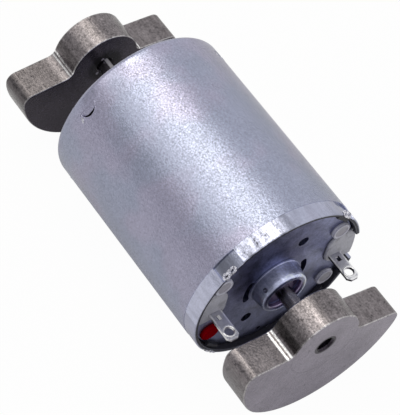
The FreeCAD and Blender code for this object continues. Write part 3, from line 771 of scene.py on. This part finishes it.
@dataclass(frozen=True)
class TinnedTag:
    """Tinned tag, grey on its flat, with painted highlights along its rolled edges and tip, round its eye and
    in the positive tag's slot, and painted shade on the negative tag's side faces.
    """

    name: str = "tinned_tag"
    flat: Colour = (0.53, 0.53, 0.60)
    # Colour of the painted highlights on the edges, the eye's bead and the slot.
    bright: Colour = (0.95, 0.95, 0.97)
    # Near-black painted shade on the negative tag's side faces that look towards -Y.
    shaded_cut: Colour = (0.06, 0.06, 0.07)
    eye_x: float = 20.55
    eye_y: float = 10.25
    bead_radius: float = 1.02
    bead_soft: float = 0.08
    edge: Pair = (0.70, 0.84)
    tip_x: Pair = (21.50, 21.70)
    # Where the painted glint in the positive tag's slot lies.
    slot_x: Span = (17.7, 18.5, 0.03)
    slot_y: Span = (-10.55, -9.95, 0.03)
    shaded_cut_facing: Pair = (-0.8, -0.6)
    shaded_cut_y: Pair = (0.0, 1.0)
    level: float = 0.95
    cloud_size: float = 0.9
    cloud_tone: float = 0.6
    grain_size: float = 0.25
    slot_dullness: float = 0.9
    roughness: float = 0.4
    edge_gloss: float = 0.12
    slot_gloss: float = 0.2
    depth: float = 0.03
    cloud_share: float = 0.6

    def material(self) -> bpy.types.Material:
        """Build the tags' finish.

        Returns:
            The material.
        """
        shader, place, (x, y, _) = begin(self.name)
        _, facing_y, _ = shader.facing()
        across = abs(abs(y) - self.eye_y)
        rolled = shader.larger(shader.ease(across, *self.edge), shader.ease(x, *self.tip_x))
        ring = shader.disc(shader.length(across, x - self.eye_x), self.bead_radius, self.bead_soft)
        # Painted glint in the positive tag's slot, white and barely metallic.
        slot = shader.band(x, *self.slot_x) * shader.band(y, *self.slot_y)
        # Painted highlights on the rolled edges, the tip, the eye's bead and the slot, which are also
        # smoother.
        polish_and_highlight = shader.larger(shader.larger(rolled, ring), slot)
        # Painted shade on the negative tag's side faces.
        shaded_cut = shader.ease(facing_y, *self.shaded_cut_facing, 1.0, 0.0) * shader.ease(y, *self.shaded_cut_y)
        cloud = shader.noise(place, self.cloud_size)
        fine = shader.noise(place, self.grain_size)
        colour = shader.blend(shaded_cut, shader.blend(polish_and_highlight, self.flat, self.bright), self.shaded_cut)
        return shader.finish(shader.surface(
            base_color=shader.tint(colour, self.level + cloud.sway(self.cloud_tone)),
            metallic=1 - slot * self.slot_dullness,
            roughness=self.roughness - polish_and_highlight * self.edge_gloss - slot * self.slot_gloss,
            normal=shader.bump(shader.weigh(cloud, fine, self.cloud_share), self.depth)))


@dataclass(frozen=True)
class GroundShaft:
    """Ground shaft, dark grey in front with painted shade down one side, and a painted highlight along one
    side behind the motor.
    """

    name: str = "ground_shaft"
    front: Colour = (0.31, 0.30, 0.36)
    # Pale colour that carries the painted highlight behind the motor.
    rear: Colour = (0.85, 0.83, 0.88)
    front_x: Pair = (-12.0, 0.0)
    # Angles of the painted highlight on the shaft.
    highlight_stripe: Span = (68.0, 102.0, 8.0)
    stripe_light: Pair = (0.3, 0.5)
    stripe_fade: float = 0.45
    stripe_dullness: float = 0.8
    # Painted shade down one side of the shaft in front.
    painted_shade_turn: Pair = (106.0, 118.0)
    painted_shade_share: float = 0.55
    level: float = 0.94
    grain_tone: float = 0.12
    grain_size: float = 0.12
    grain_stretch: Triple = (1.0, 0.2, 0.2)
    roughness: float = 0.17
    front_roughness: float = 0.07
    depth: float = 0.004

    def material(self) -> bpy.types.Material:
        """Build the shaft's finish.

        Returns:
            The material.
        """
        shader, place, (x, y, z) = begin(self.name)
        turn = shader.turn(y, z)
        fine = shader.noise(shader.stretched(place, self.grain_stretch), self.grain_size)
        front = shader.ease(x, *self.front_x)
        # Painted highlight along one side of the shaft, mostly behind the motor.
        highlight_stripe = shader.band(turn, *self.highlight_stripe) * (1 - front * self.stripe_fade)
        dim, bright = self.stripe_light
        shade = (self.level + fine * self.grain_tone) * (front + (1 - front) * (dim + highlight_stripe * bright))
        # Painted shade down one side of the shaft in front.
        shade = shade * (1 - front * shader.ease(turn, *self.painted_shade_turn) * self.painted_shade_share)
        return shader.finish(shader.surface(
            base_color=shader.tint(shader.blend(front, self.rear, self.front), shade),
            metallic=1 - highlight_stripe * self.stripe_dullness,
            roughness=self.roughness + front * self.front_roughness + fine.sway(self.grain_tone),
            normal=shader.bump(fine, self.depth)))


@dataclass(frozen=True)
class PlainFinish:
    """A finish with one colour, mottled and grained at its own scale."""

    name: str
    colour: Colour
    roughness: float
    metallic: float = 0.0
    grain: float = 0.3
    grain_depth: float = 0.004
    grain_roughness: float = 0.12
    grain_ratio: float = 2.0
    mottle: float = 0.12
    cloud_ratio: float = 7.0
    specular: float = 0.5

    def material(self) -> bpy.types.Material:
        """Build the finish.

        Returns:
            The material.
        """
        shader, place, _ = begin(self.name)
        fine = shader.noise(place, self.grain, roughness=0.6)
        cloud = shader.noise(place, self.grain * self.cloud_ratio, detail=2.0)
        shade = 1.0 + fine.sway(self.mottle * self.grain_ratio) + cloud.sway(self.mottle)
        return shader.finish(shader.surface(
            base_color=shader.tint(self.colour, shade), metallic=self.metallic,
            roughness=self.roughness + fine.sway(self.grain_roughness), specular_ior_level=self.specular,
            normal=shader.bump(fine, self.grain_depth)))


@dataclass(frozen=True)
class StripedFinish:
    """A finish with fine ridges at a steady pitch, as on a stack of sheets or a winding."""

    name: str
    colour: Colour
    dark: Colour
    pitch: float
    axis: int
    roughness: float
    metallic: float
    grain: float = 0.3
    light: Pair = (0.9, 1.1)
    ridge: float = 0.5
    depth: float = 0.05

    def material(self) -> bpy.types.Material:
        """Build the finish.

        Returns:
            The material.
        """
        shader, place, parts = begin(self.name)
        across = parts[self.axis]
        wave = shader.maths("SINE", across * (2 * math.pi / self.pitch)) * 0.5 + 0.5
        fine = shader.noise(place, self.grain, detail=2.0)
        dim, bright = self.light
        colour = shader.blend(wave ** self.ridge, self.dark, self.colour)
        return shader.finish(shader.surface(
            base_color=shader.tint(colour, dim + fine * (bright - dim)), metallic=self.metallic,
            roughness=self.roughness, normal=shader.bump(wave, self.depth)))


class Finish(Enum):
    """Every finish on the motor, inside and out."""

    CAN = PlatedSteel()
    PLATE = PressedSteel()
    WEIGHT = SinteredIron()
    HOLDER = MouldedHolder()
    MARK = PlainFinish("red_mark", (0.31, 0.0, 0.005), 0.5, grain=0.5, grain_depth=0.02, specular=0.0)
    TAG = TinnedTag()
    SHAFT = GroundShaft()
    BUSH = PlainFinish("sintered_bush", (0.42, 0.36, 0.50), 0.42, 1.0, grain=0.15, grain_depth=0.01)
    STAKE = PlainFinish("crushed_rim", (0.62, 0.62, 0.70), 0.24, 1.0, grain=0.5, grain_depth=0.02, mottle=1.7)
    FERRITE = PlainFinish("ferrite_magnet", (0.045, 0.045, 0.05), 0.55, grain=0.25, mottle=0.3)
    CLIP = PlainFinish("spring_clip", (0.42, 0.43, 0.46), 0.3, 1.0)
    ARM = PlainFinish("bronze_arm", (0.62, 0.40, 0.20), 0.3, 1.0)
    CARBON = PlainFinish("carbon_brush", (0.03, 0.03, 0.032), 0.5, 0.3, grain=0.2, mottle=0.3)
    LAMINATION = StripedFinish("lamination_stack", (0.30, 0.30, 0.31), (0.08, 0.08, 0.09), 0.5, 0, 0.4, 0.9)
    WINDING = StripedFinish("enamelled_winding", (0.62, 0.24, 0.09), (0.20, 0.06, 0.02), 0.4, 0, 0.3, 0.8)
    INSULATOR = PlainFinish("moulded_insulator", (0.06, 0.22, 0.12), 0.45)
    SEGMENT = PlainFinish("copper_segment", (0.70, 0.33, 0.19), 0.28, 1.0)
    CORE = PlainFinish("moulded_core", (0.07, 0.045, 0.03), 0.5)
    FIBRE = PlainFinish("fibre_washer", (0.20, 0.08, 0.04), 0.7, grain=0.2, mottle=0.2)

    @cache
    def made(self) -> bpy.types.Material:
        """The finish's material, built once."""
        return self.value.material()


def deselect() -> None:
    """Leave nothing selected."""
    bpy.ops.object.select_all(action="DESELECT")


def activate(piece: Piece) -> None:
    """Select one piece and make it the active one.

    Args:
        piece: The piece.
    """
    deselect()
    piece.select_set(True)
    bpy.context.view_layer.objects.active = piece


def wear(piece: Piece, finish: Finish) -> None:
    """Put a finish on every material slot of a piece.

    Args:
        piece: The piece.
        finish: Its finish.
    """
    material = finish.made()
    if not piece.material_slots:
        piece.data.materials.append(material)
    for slot in piece.material_slots:
        slot.material = material


def everywhere(place: Vector) -> bool:
    """Test that every face passes."""
    return True


def choose(piece: Piece, test: Callable[[Vector], bool] = everywhere) -> None:
    """Enter edit mode with the faces that pass a test selected.

    Args:
        piece: Piece whose mesh is edited.
        test: Says yes or no from the middle of a face in millimetres.
    """
    activate(piece)
    bpy.ops.object.mode_set(mode="EDIT")
    bpy.ops.mesh.select_mode(type="FACE")
    bpy.ops.mesh.select_all(action="DESELECT")
    bpy.ops.object.mode_set(mode="OBJECT")
    for face in piece.data.polygons:
        face.select = test(face.center / MM)
    bpy.ops.object.mode_set(mode="EDIT")


def squeeze(piece: Piece, shape: Triple, middle: Vector,
            test: Callable[[Vector], bool] = everywhere) -> None:
    """Scale the faces that pass a test about a point, and stay in edit mode."""
    choose(piece, test)
    bpy.ops.transform.resize(value=shape, center_override=middle)


def crumple(depth: float, seed: int, **options: float) -> None:
    """Shift the chosen corners at random by up to depth millimetres."""
    bpy.ops.transform.vertex_random(offset=depth * MM, seed=seed, **options)


def leave() -> None:
    """Go back from edit mode."""
    bpy.ops.object.mode_set(mode="OBJECT")


def copied(node: str, name: str) -> Piece:
    """Merged copy of a CAD node that can be worked on.

    Args:
        node: Name of the node.
        name: Name of the copy.

    Returns:
        The copy, with whole faces in place of loose triangles.
    """
    activate(frame["nodes"][node])
    bpy.ops.object.duplicate()
    piece = bpy.context.object
    piece.name = name
    bpy.ops.object.parent_clear(type="CLEAR_KEEP_TRANSFORM")
    for key in [key for key in piece.keys() if key.startswith("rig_")]:
        del piece[key]
    bpy.ops.mesh.customdata_custom_splitnormals_clear()
    bpy.ops.object.mode_set(mode="EDIT")
    bpy.ops.mesh.select_all(action="SELECT")
    bpy.ops.mesh.remove_doubles(threshold=MERGE_DISTANCE)
    bpy.ops.mesh.dissolve_limited(angle_limit=math.radians(FLAT_ANGLE))
    bpy.ops.mesh.normals_make_consistent(inside=False)
    leave()
    return piece


def ring(name: str, size: Pair, facets: Facets, middle: Vector, turns: Triple = (0.0, 0.0, 0.0)) -> Piece:
    """Plain ring that a formed detail starts from.

    Args:
        name: Name of the ring.
        size: Radius of the ring and of its wire in millimetres.
        facets: Facets round the ring and round its wire.
        middle: Its middle.
        turns: Its turns about X, Y and Z in degrees.

    Returns:
        The ring.
    """
    deselect()
    bpy.ops.mesh.primitive_torus_add(
        major_radius=size[0] * MM, minor_radius=size[1] * MM, major_segments=facets[0],
        minor_segments=facets[1], location=middle, rotation=[math.radians(turn) for turn in turns])
    piece = bpy.context.object
    piece.name = name
    bpy.ops.object.transform_apply(location=True, rotation=True, scale=True)
    return piece


def softened(piece: Piece, width: float, steps: int = 2, angle: float = 32.0) -> None:
    """Round the sharp edges of a piece and shade it smooth.

    Args:
        piece: Piece to finish.
        width: Width of the rounding in millimetres.
        steps: Facets across the rounding.
        angle: Least angle in degrees that counts as an edge.
    """
    activate(piece)
    bpy.ops.object.shade_smooth_by_angle(angle=math.radians(angle))
    bpy.ops.object.modifier_add(type="BEVEL")
    rounding = piece.modifiers[-1]
    rounding.width = width * MM
    rounding.segments = steps
    rounding.limit_method = "ANGLE"
    rounding.angle_limit = math.radians(angle)
    rounding.harden_normals = True
    bpy.ops.object.modifier_apply(modifier=rounding.name)


def join(piece: Piece, detail: Piece) -> None:
    """Make a smooth detail part of a piece.

    Args:
        piece: Piece that takes the detail.
        detail: Detail that is joined to it.
    """
    activate(detail)
    bpy.ops.object.shade_smooth()
    activate(piece)
    detail.select_set(True)
    bpy.ops.object.join()


def shown(piece: Piece, body: str, finish: Finish, nodes: Sequence[str] = ()) -> None:
    """Hand a finished piece to the frame.

    Args:
        piece: The piece.
        body: Body that it rides on.
        finish: Its finish.
        nodes: CAD nodes that it stands for.
    """
    wear(piece, finish)
    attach(piece, body)
    if nodes:
        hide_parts(*nodes)
    LOG.info("built %s", piece.name)


@dataclass
class CanShell:
    """Drawn can with its rounded edges, crushed stakes and lanced burrs.

    A place is given along the shaft and away from it, a ring's size as radius and wire, the burr's as root,
    tip and length, and a shape as the scale on each axis.
    """

    edge: float = 0.05
    stake_angles: tuple[float, ...] = (45.0, 135.0, 225.0, 315.0)
    stake_shifts: Pair = (4.0, 0.3)
    stake_place: Pair = (17.42, 13.72)
    stake_size: Pair = (0.37, 0.18)
    stake_facets: Facets = (20, 8)
    stake_turns: Triple = (0.0, 90.0, 55.0)
    stake_shape: Triple = (0.8, 0.85, 1.4)
    stake_crumple: Pair = (0.1, 0.03)
    stake_seeds: tuple[int, int] = (9, 20)
    lance_angles: tuple[float, ...] = (36.0, 144.0, 216.0, 324.0)
    lance_place: Pair = (-15.5, 13.74)
    lance_size: Pair = (1.48, 0.14)
    lance_facets: Facets = (48, 10)
    lance_shape: Triple = (1.0, 0.6, 1.0)
    lance_cut_x: float = -15.25
    lance_crumple: float = 0.02
    burr_angle: float = 7.1
    burr_place: Pair = (-14.55, 13.8)
    burr_size: Triple = (0.24, 0.05, 0.95)
    burr_tilt: float = 62.0
    burr_shape: Triple = (1.0, 0.45, 1.0)
    burr_facets: int = 9
    burr_crumple: float = 0.03
    burr_seed: int = 20
    seam_angle: float = 40.0

    def shell(self) -> None:
        """The can itself, with its edges rounded."""
        piece = copied("motor_can", "can_shell")
        softened(piece, self.edge)
        shown(piece, "stator", Finish.CAN, ["motor_can"])

    def settle(self, piece: Piece, angle: float, finish: Finish) -> None:
        """Close a piece in edit mode, turn it from +Y round the shaft and hand it over.

        Args:
            piece: Piece made at +Y.
            angle: Its angle round the shaft in degrees.
            finish: Its finish.
        """
        bpy.ops.mesh.normals_make_consistent(inside=False)
        leave()
        piece.rotation_euler = (math.radians(angle), 0, 0)
        bpy.ops.object.transform_apply(location=True, rotation=True, scale=True)
        bpy.ops.object.shade_smooth_by_angle(angle=math.radians(self.seam_angle))
        shown(piece, "stator", finish)

    def stake(self, name: str, seed: int, angle: float) -> None:
        """Crumpled loop of rim metal that a punch folds over the plate.

        Args:
            name: Name of the piece.
            seed: Start of its crumples.
            angle: Its angle round the shaft in degrees.
        """
        middle = millimetres(*self.stake_place, 0)
        piece = ring(name, self.stake_size, self.stake_facets, middle, self.stake_turns)
        squeeze(piece, self.stake_shape, middle)
        crumple(self.stake_crumple[0], seed, uniform=0.8, normal=0.2)
        bpy.ops.mesh.subdivide(number_cuts=1, smoothness=0.8)
        crumple(self.stake_crumple[1], seed + self.stake_seeds[0], uniform=1.0)
        self.settle(piece, angle, Finish.STAKE)

    def lance_lip(self, index: int, angle: float) -> None:
        """Half-moon lip that the lancing tool raises round the slit.

        Args:
            index: Number of the lance.
            angle: Its angle round the shaft in degrees.
        """
        middle = millimetres(*self.lance_place, 0)
        piece = ring("lance_lip_%d" % index, self.lance_size, self.lance_facets, middle, ACROSS_SHAFT)
        choose(piece)
        bpy.ops.mesh.bisect(plane_co=millimetres(self.lance_cut_x, 0, 0), plane_no=(1, 0, 0),
                            clear_inner=True, use_fill=True)
        bpy.ops.mesh.select_all(action="SELECT")
        bpy.ops.transform.resize(value=self.lance_shape, center_override=middle)
        crumple(self.lance_crumple, index, uniform=1.0)
        self.settle(piece, angle, Finish.CAN)

    def burr(self, index: int, angle: float) -> None:
        """Bright sliver torn up at the end of a slit.

        Args:
            index: Number of the lance.
            angle: Its angle round the shaft in degrees.
        """
        deselect()
        middle = millimetres(*self.burr_place, 0)
        root, tip, depth = self.burr_size
        bpy.ops.mesh.primitive_cone_add(
            vertices=self.burr_facets, radius1=root * MM, radius2=tip * MM, depth=depth * MM,
            location=middle, rotation=(0, math.radians(self.burr_tilt), 0))
        piece = bpy.context.object
        piece.name = "lance_burr_%d" % index
        bpy.ops.object.transform_apply(location=True, rotation=True, scale=True)
        choose(piece)
        bpy.ops.mesh.subdivide(number_cuts=2, smoothness=0.6)
        bpy.ops.transform.resize(value=self.burr_shape, center_override=middle)
        crumple(self.burr_crumple, index + self.burr_seed, uniform=1.0)
        self.settle(piece, angle, Finish.STAKE)

    def build(self) -> None:
        """Build the can's pieces."""
        self.shell()
        for index, angle in enumerate(self.lance_angles, 1):
            self.lance_lip(index, angle)
            self.burr(index, angle + self.burr_angle)
        for index, angle in enumerate(self.stake_angles, 1):
            for half, shift in enumerate(self.stake_shifts):
                seed = index + half * self.stake_seeds[1]
                self.stake("stake_curl_%d%s" % (index, "ab"[half]), seed, angle + shift)


@dataclass
class EndPlate:
    """Pressed plate whose cup ends in a rolled lip, with softened slot edges."""

    edge: float = 0.07
    lip_x: float = 19.0
    lip_size: Pair = (3.15, 0.44)
    lip_facets: Facets = (72, 20)
    lip_shape: Triple = (1.3, 1.0, 1.0)

    def lip(self) -> Piece:
        """Rolled lip round the mouth of the cup, drawn out towards the plate.

        Returns:
            The lip.
        """
        middle = millimetres(self.lip_x, 0, 0)
        piece = ring("cup_lip", self.lip_size, self.lip_facets, middle, ALONG_SHAFT)
        squeeze(piece, self.lip_shape, middle, lambda place: place.x < self.lip_x)
        leave()
        return piece

    def build(self) -> None:
        """Build the plate."""
        piece = copied("end_plate", "plate_pressing")
        softened(piece, self.edge)
        join(piece, self.lip())
        shown(piece, "stator", Finish.PLATE, ["end_plate"])


@dataclass
class BrushCarrier:
    """Moulded carrier with rimmed rivet heads, and the paint on the one without a rim."""

    head_x: float = 17.2
    head_y: float = 9.88
    head_z: float = 5.48
    heads: tuple[Pair, ...] = ((1, 1), (1, -1), (-1, 1))
    rim_size: Pair = (1.2, 0.21)
    rim_facets: Facets = (40, 10)
    rim_shape: Triple = (0.55, 1.0, 1.0)
    edge: float = 0.13
    edge_angle: float = 40.0
    mark_edge: float = 0.1
    mark_angle: float = 28.0

    def rim(self, y: float, z: float) -> Piece:
        """Raised rim that the riveting tool leaves round a head.

        Args:
            y: Place of the head across the shaft.
            z: Place of the head above the shaft.

        Returns:
            The rim.
        """
        middle = millimetres(self.head_x, y, z)
        piece = ring("head_rim", self.rim_size, self.rim_facets, middle, ALONG_SHAFT)
        squeeze(piece, self.rim_shape, middle)
        leave()
        return piece

    def build(self) -> None:
        """Build the carrier and the mark."""
        carrier = copied("brush_holder", "brush_carrier")
        softened(carrier, self.edge, 3, self.edge_angle)
        for y, z in self.heads:
            join(carrier, self.rim(y * self.head_y, z * self.head_z))
        shown(carrier, "stator", Finish.HOLDER, ["brush_holder"])
        mark = copied("polarity_mark", "paint_mark")
        softened(mark, self.mark_edge, 3, self.mark_angle)
        shown(mark, "stator", Finish.MARK, ["polarity_mark"])


@dataclass
class Terminals:
    """Tinned tags with rolled edges, a raised bead round each eye and a sliver in one slot painted as a
    glint.
    """

    eye_x: float = 20.55
    eye_y: float = 10.25
    top_z: float = -0.1
    bead_size: Pair = (0.82, 0.14)
    bead_facets: Facets = (36, 10)
    bead_shape: Triple = (1.0, 1.0, 0.7)
    # Sliver that carries the painted glint in the positive tag's slot.
    sliver_place: Triple = (18.1, -10.19, -0.16)
    sliver_size: Triple = (0.76, 0.44, 0.16)
    sliver_turn: float = 14.0
    sliver_edge: float = 0.05
    edge: float = 0.07

    def bead(self, side: int) -> Piece:
        """Flattened bead that the punched eye raises.

        Args:
            side: One for the negative tag, minus one for the positive tag.

        Returns:
            The bead.
        """
        middle = millimetres(self.eye_x, side * self.eye_y, self.top_z)
        piece = ring("eye_bead", self.bead_size, self.bead_facets, middle)
        squeeze(piece, self.bead_shape, middle)
        leave()
        return piece

    def slot_glint_sliver(self) -> Piece:
        """Tilted sliver in the slot of the positive tag, which the tags' finish paints white as a glint.

        Returns:
            The sliver.
        """
        deselect()
        bpy.ops.mesh.primitive_cube_add(size=MM, location=millimetres(*self.sliver_place))
        piece = bpy.context.object
        piece.scale = self.sliver_size
        piece.rotation_euler = (math.radians(self.sliver_turn), 0, 0)
        bpy.ops.object.transform_apply(location=True, rotation=True, scale=True)
        softened(piece, self.sliver_edge)
        return piece

    def tag(self, side: int, pole: str) -> None:
        """One tag with its bead.

        Args:
            side: One for the negative tag, minus one for the positive tag.
            pole: Negative or positive.
        """
        piece = copied("terminal_" + pole, "tag_" + pole)
        softened(piece, self.edge)
        join(piece, self.bead(side))
        if side < 0:
            join(piece, self.slot_glint_sliver())
        shown(piece, "stator", Finish.TAG, ["terminal_" + pole])

    def build(self) -> None:
        """Build both tags."""
        self.tag(1, "negative")
        self.tag(-1, "positive")


@dataclass
class Weights:
    """Both eccentric weights with their pressed edges rounded."""

    edge: float = 0.09
    edge_angle: float = 24.0

    def build(self) -> None:
        """Build the weights."""
        for end in ("front", "rear"):
            piece = copied("weight_" + end, "eccentric_weight_" + end)
            softened(piece, self.edge, 2, self.edge_angle)
            shown(piece, "rotor", Finish.WEIGHT, ["weight_" + end])


@dataclass
class ShaftAndBush:
    """Ground shaft and the flanged bush that shows in the cup."""

    edge: float = 0.05

    def build(self) -> None:
        """Build the shaft and the bush."""
        for node, name, body, slot, finish in (
                ("shaft", "ground_shaft", "rotor", "shaft_steel", Finish.SHAFT),
                ("bearing_front", "cup_bush", "stator", "sintered_bronze", Finish.BUSH)):
            piece = copied(node, name)
            softened(piece, self.edge)
            shown(piece, body, finish, [node])


@dataclass
class InnerWorks:
    """Pieces inside the can, which keep their CAD shape."""

    finishes: dict[Finish, tuple[str, ...]] = field(default_factory=lambda: {
        Finish.BUSH: ("bearing_rear",),
        Finish.ARM: ("brush_arm_negative", "brush_arm_positive"),
        Finish.CARBON: ("brush_negative", "brush_positive"),
        Finish.FERRITE: ("magnet_upper", "magnet_lower"),
        Finish.CLIP: ("magnet_clip_right", "magnet_clip_left"),
        Finish.LAMINATION: ("lamination_stack",),
        Finish.INSULATOR: ("insulator_front", "insulator_rear"),
        Finish.CORE: ("commutator_core", "commutator_ring"),
        Finish.FIBRE: ("washer_front", "washer_rear"),
        Finish.WINDING: ("coil_1", "coil_2", "coil_3"),
        Finish.SEGMENT: ("segment_1", "segment_2", "segment_3")})

    def build(self) -> None:
        """Give each node its finish."""
        for finish, names in self.finishes.items():
            for name in names:
                wear(frame["nodes"][name], finish)
                LOG.info("dressed %s", name)


def hang(data: bpy.types.ID, axes: Sequence[Vector], place: Vector) -> Piece:
    """Put a lamp or a camera in its place.

    Args:
        data: The lamp or camera.
        axes: Directions of its own X, Y and Z.
        place: Its place in metres.

    Returns:
        The object that holds it.
    """
    holder = bpy.data.objects.new(data.name, data)
    bpy.context.collection.objects.link(holder)
    holder.matrix_world = Matrix.Translation(place) @ Matrix(axes).transposed().to_4x4()
    return holder


@dataclass
class SoftBox:
    """Rectangular lamp that looks at the motor."""

    name: str
    angle: float
    lean: float
    distance: float
    length: float
    width: float
    level: float
    colour: Colour = (1.0, 0.975, 0.86)

    def build(self) -> None:
        """Hang the lamp.

        The angle goes round the shaft from +Y towards +Z, and lean is the part of its direction along X. Its
        length runs beside the shaft. A level of one is white.
        """
        turn = math.radians(self.angle)
        across = math.sqrt(1 - self.lean ** 2)
        away = Vector((self.lean, across * math.cos(turn), across * math.sin(turn)))
        along = (Vector((1, 0, 0)) - away * away.x).normalized()
        light = bpy.data.lights.new(self.name, "AREA")
        light.shape = "RECTANGLE"
        light.size, light.size_y = self.length * MM, self.width * MM
        light.color = self.colour
        light.energy = self.level * math.pi * light.size * light.size_y
        hang(light, (along, away.cross(along), away), away * self.distance * MM)


@dataclass
class Studio:
    """White floor, even sky, soft boxes and the camera of the photograph."""

    floor_z: float = -13.9
    floor_half: float = 900.0
    floor_colour: Colour = (0.86, 0.86, 0.87)
    floor_seen: float = 0.97
    floor_gloss: float = 0.2
    camera_place: Triple = (110.229, -116.257, 201.620)
    camera_right: Triple = (0.55795, 0.81421, 0.16046)
    camera_down: Triple = (0.71333, -0.37173, -0.59412)
    focal_length: float = 159.07
    near_clip: float = 0.01
    sky_level: float = 0.62
    shade_turn: Span = (146.0, 174.0, 7.0)
    shade_level: float = 0.6
    boxes: tuple[SoftBox, ...] = (
        SoftBox("strip_box", 90.5, -0.424, 400.0, 400.0, 55.0, 2.45),
        SoftBox("broad_box", 101.0, -0.424, 400.0, 400.0, 434.0, 0.7))

    def floor(self) -> None:
        """White floor that fades to pure white but keeps a soft shadow."""
        deselect()
        bpy.ops.mesh.primitive_plane_add(size=2 * self.floor_half * MM, location=(0, 0, self.floor_z * MM))
        plane = bpy.context.object
        plane.name = "studio_floor"
        bpy.ops.object.transform_apply(location=True, rotation=True, scale=True)
        shader = Shader(bpy.data.materials.new("studio_floor"))
        matt = shader.node("BsdfDiffuse", inputs={"Color": (*self.floor_colour, 1.0)})
        glow = shader.node("Emission", inputs={"Color": WHITE, "Strength": 1.0})
        seen = shader.seen(self.floor_seen, self.floor_gloss)
        mixed = shader.node("MixShader", inputs={0: seen, 1: matt, 2: glow})
        plane.data.materials.append(shader.finish(mixed))

    def sky(self) -> None:
        """Even sky, white where it is seen, with a darker stretch low on the -Y side for gloss."""
        world = bpy.data.worlds.new("studio_sky")
        bpy.context.scene.world = world
        shader = Shader(world)
        _, y, z = shader.parts(shader.node("TexCoord", output="Generated"))
        shade = shader.band(shader.turn(y, z), *self.shade_turn) * (1 - self.shade_level)
        path = shader.node("LightPath").socket.node.outputs
        direct = Signal(shader, path["Is Camera Ray"])
        gloss = Signal(shader, path["Is Glossy Ray"]) * (1 - shade)
        level = shader.larger(shader.larger(direct, gloss), self.sky_level)
        shader.finish(shader.node("Background", inputs={"Strength": level}))

    def camera(self) -> None:
        """Camera at the place and angle of the photograph."""
        data = bpy.data.cameras.new("photo_camera")
        data.lens = self.focal_length
        data.clip_start = self.near_clip
        right, down = Vector(self.camera_right), Vector(self.camera_down)
        axes = (right, -down, -right.cross(down))
        bpy.context.scene.camera = hang(data, axes, millimetres(*self.camera_place))

    def build(self) -> None:
        """Set up the whole studio."""
        bpy.context.scene.view_settings.view_transform = "Standard"
        self.floor()
        self.sky()
        for box in self.boxes:
            box.build()
        self.camera()


def main() -> None:
    """Build the classes in order."""
    logging.basicConfig(level=logging.INFO)
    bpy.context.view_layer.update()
    for assembly in (CanShell(), EndPlate(), BrushCarrier(), Terminals(), Weights(), ShaftAndBush(),
                     InnerWorks(), Studio()):
        assembly.build()


if __name__ == "__main__":
    main()
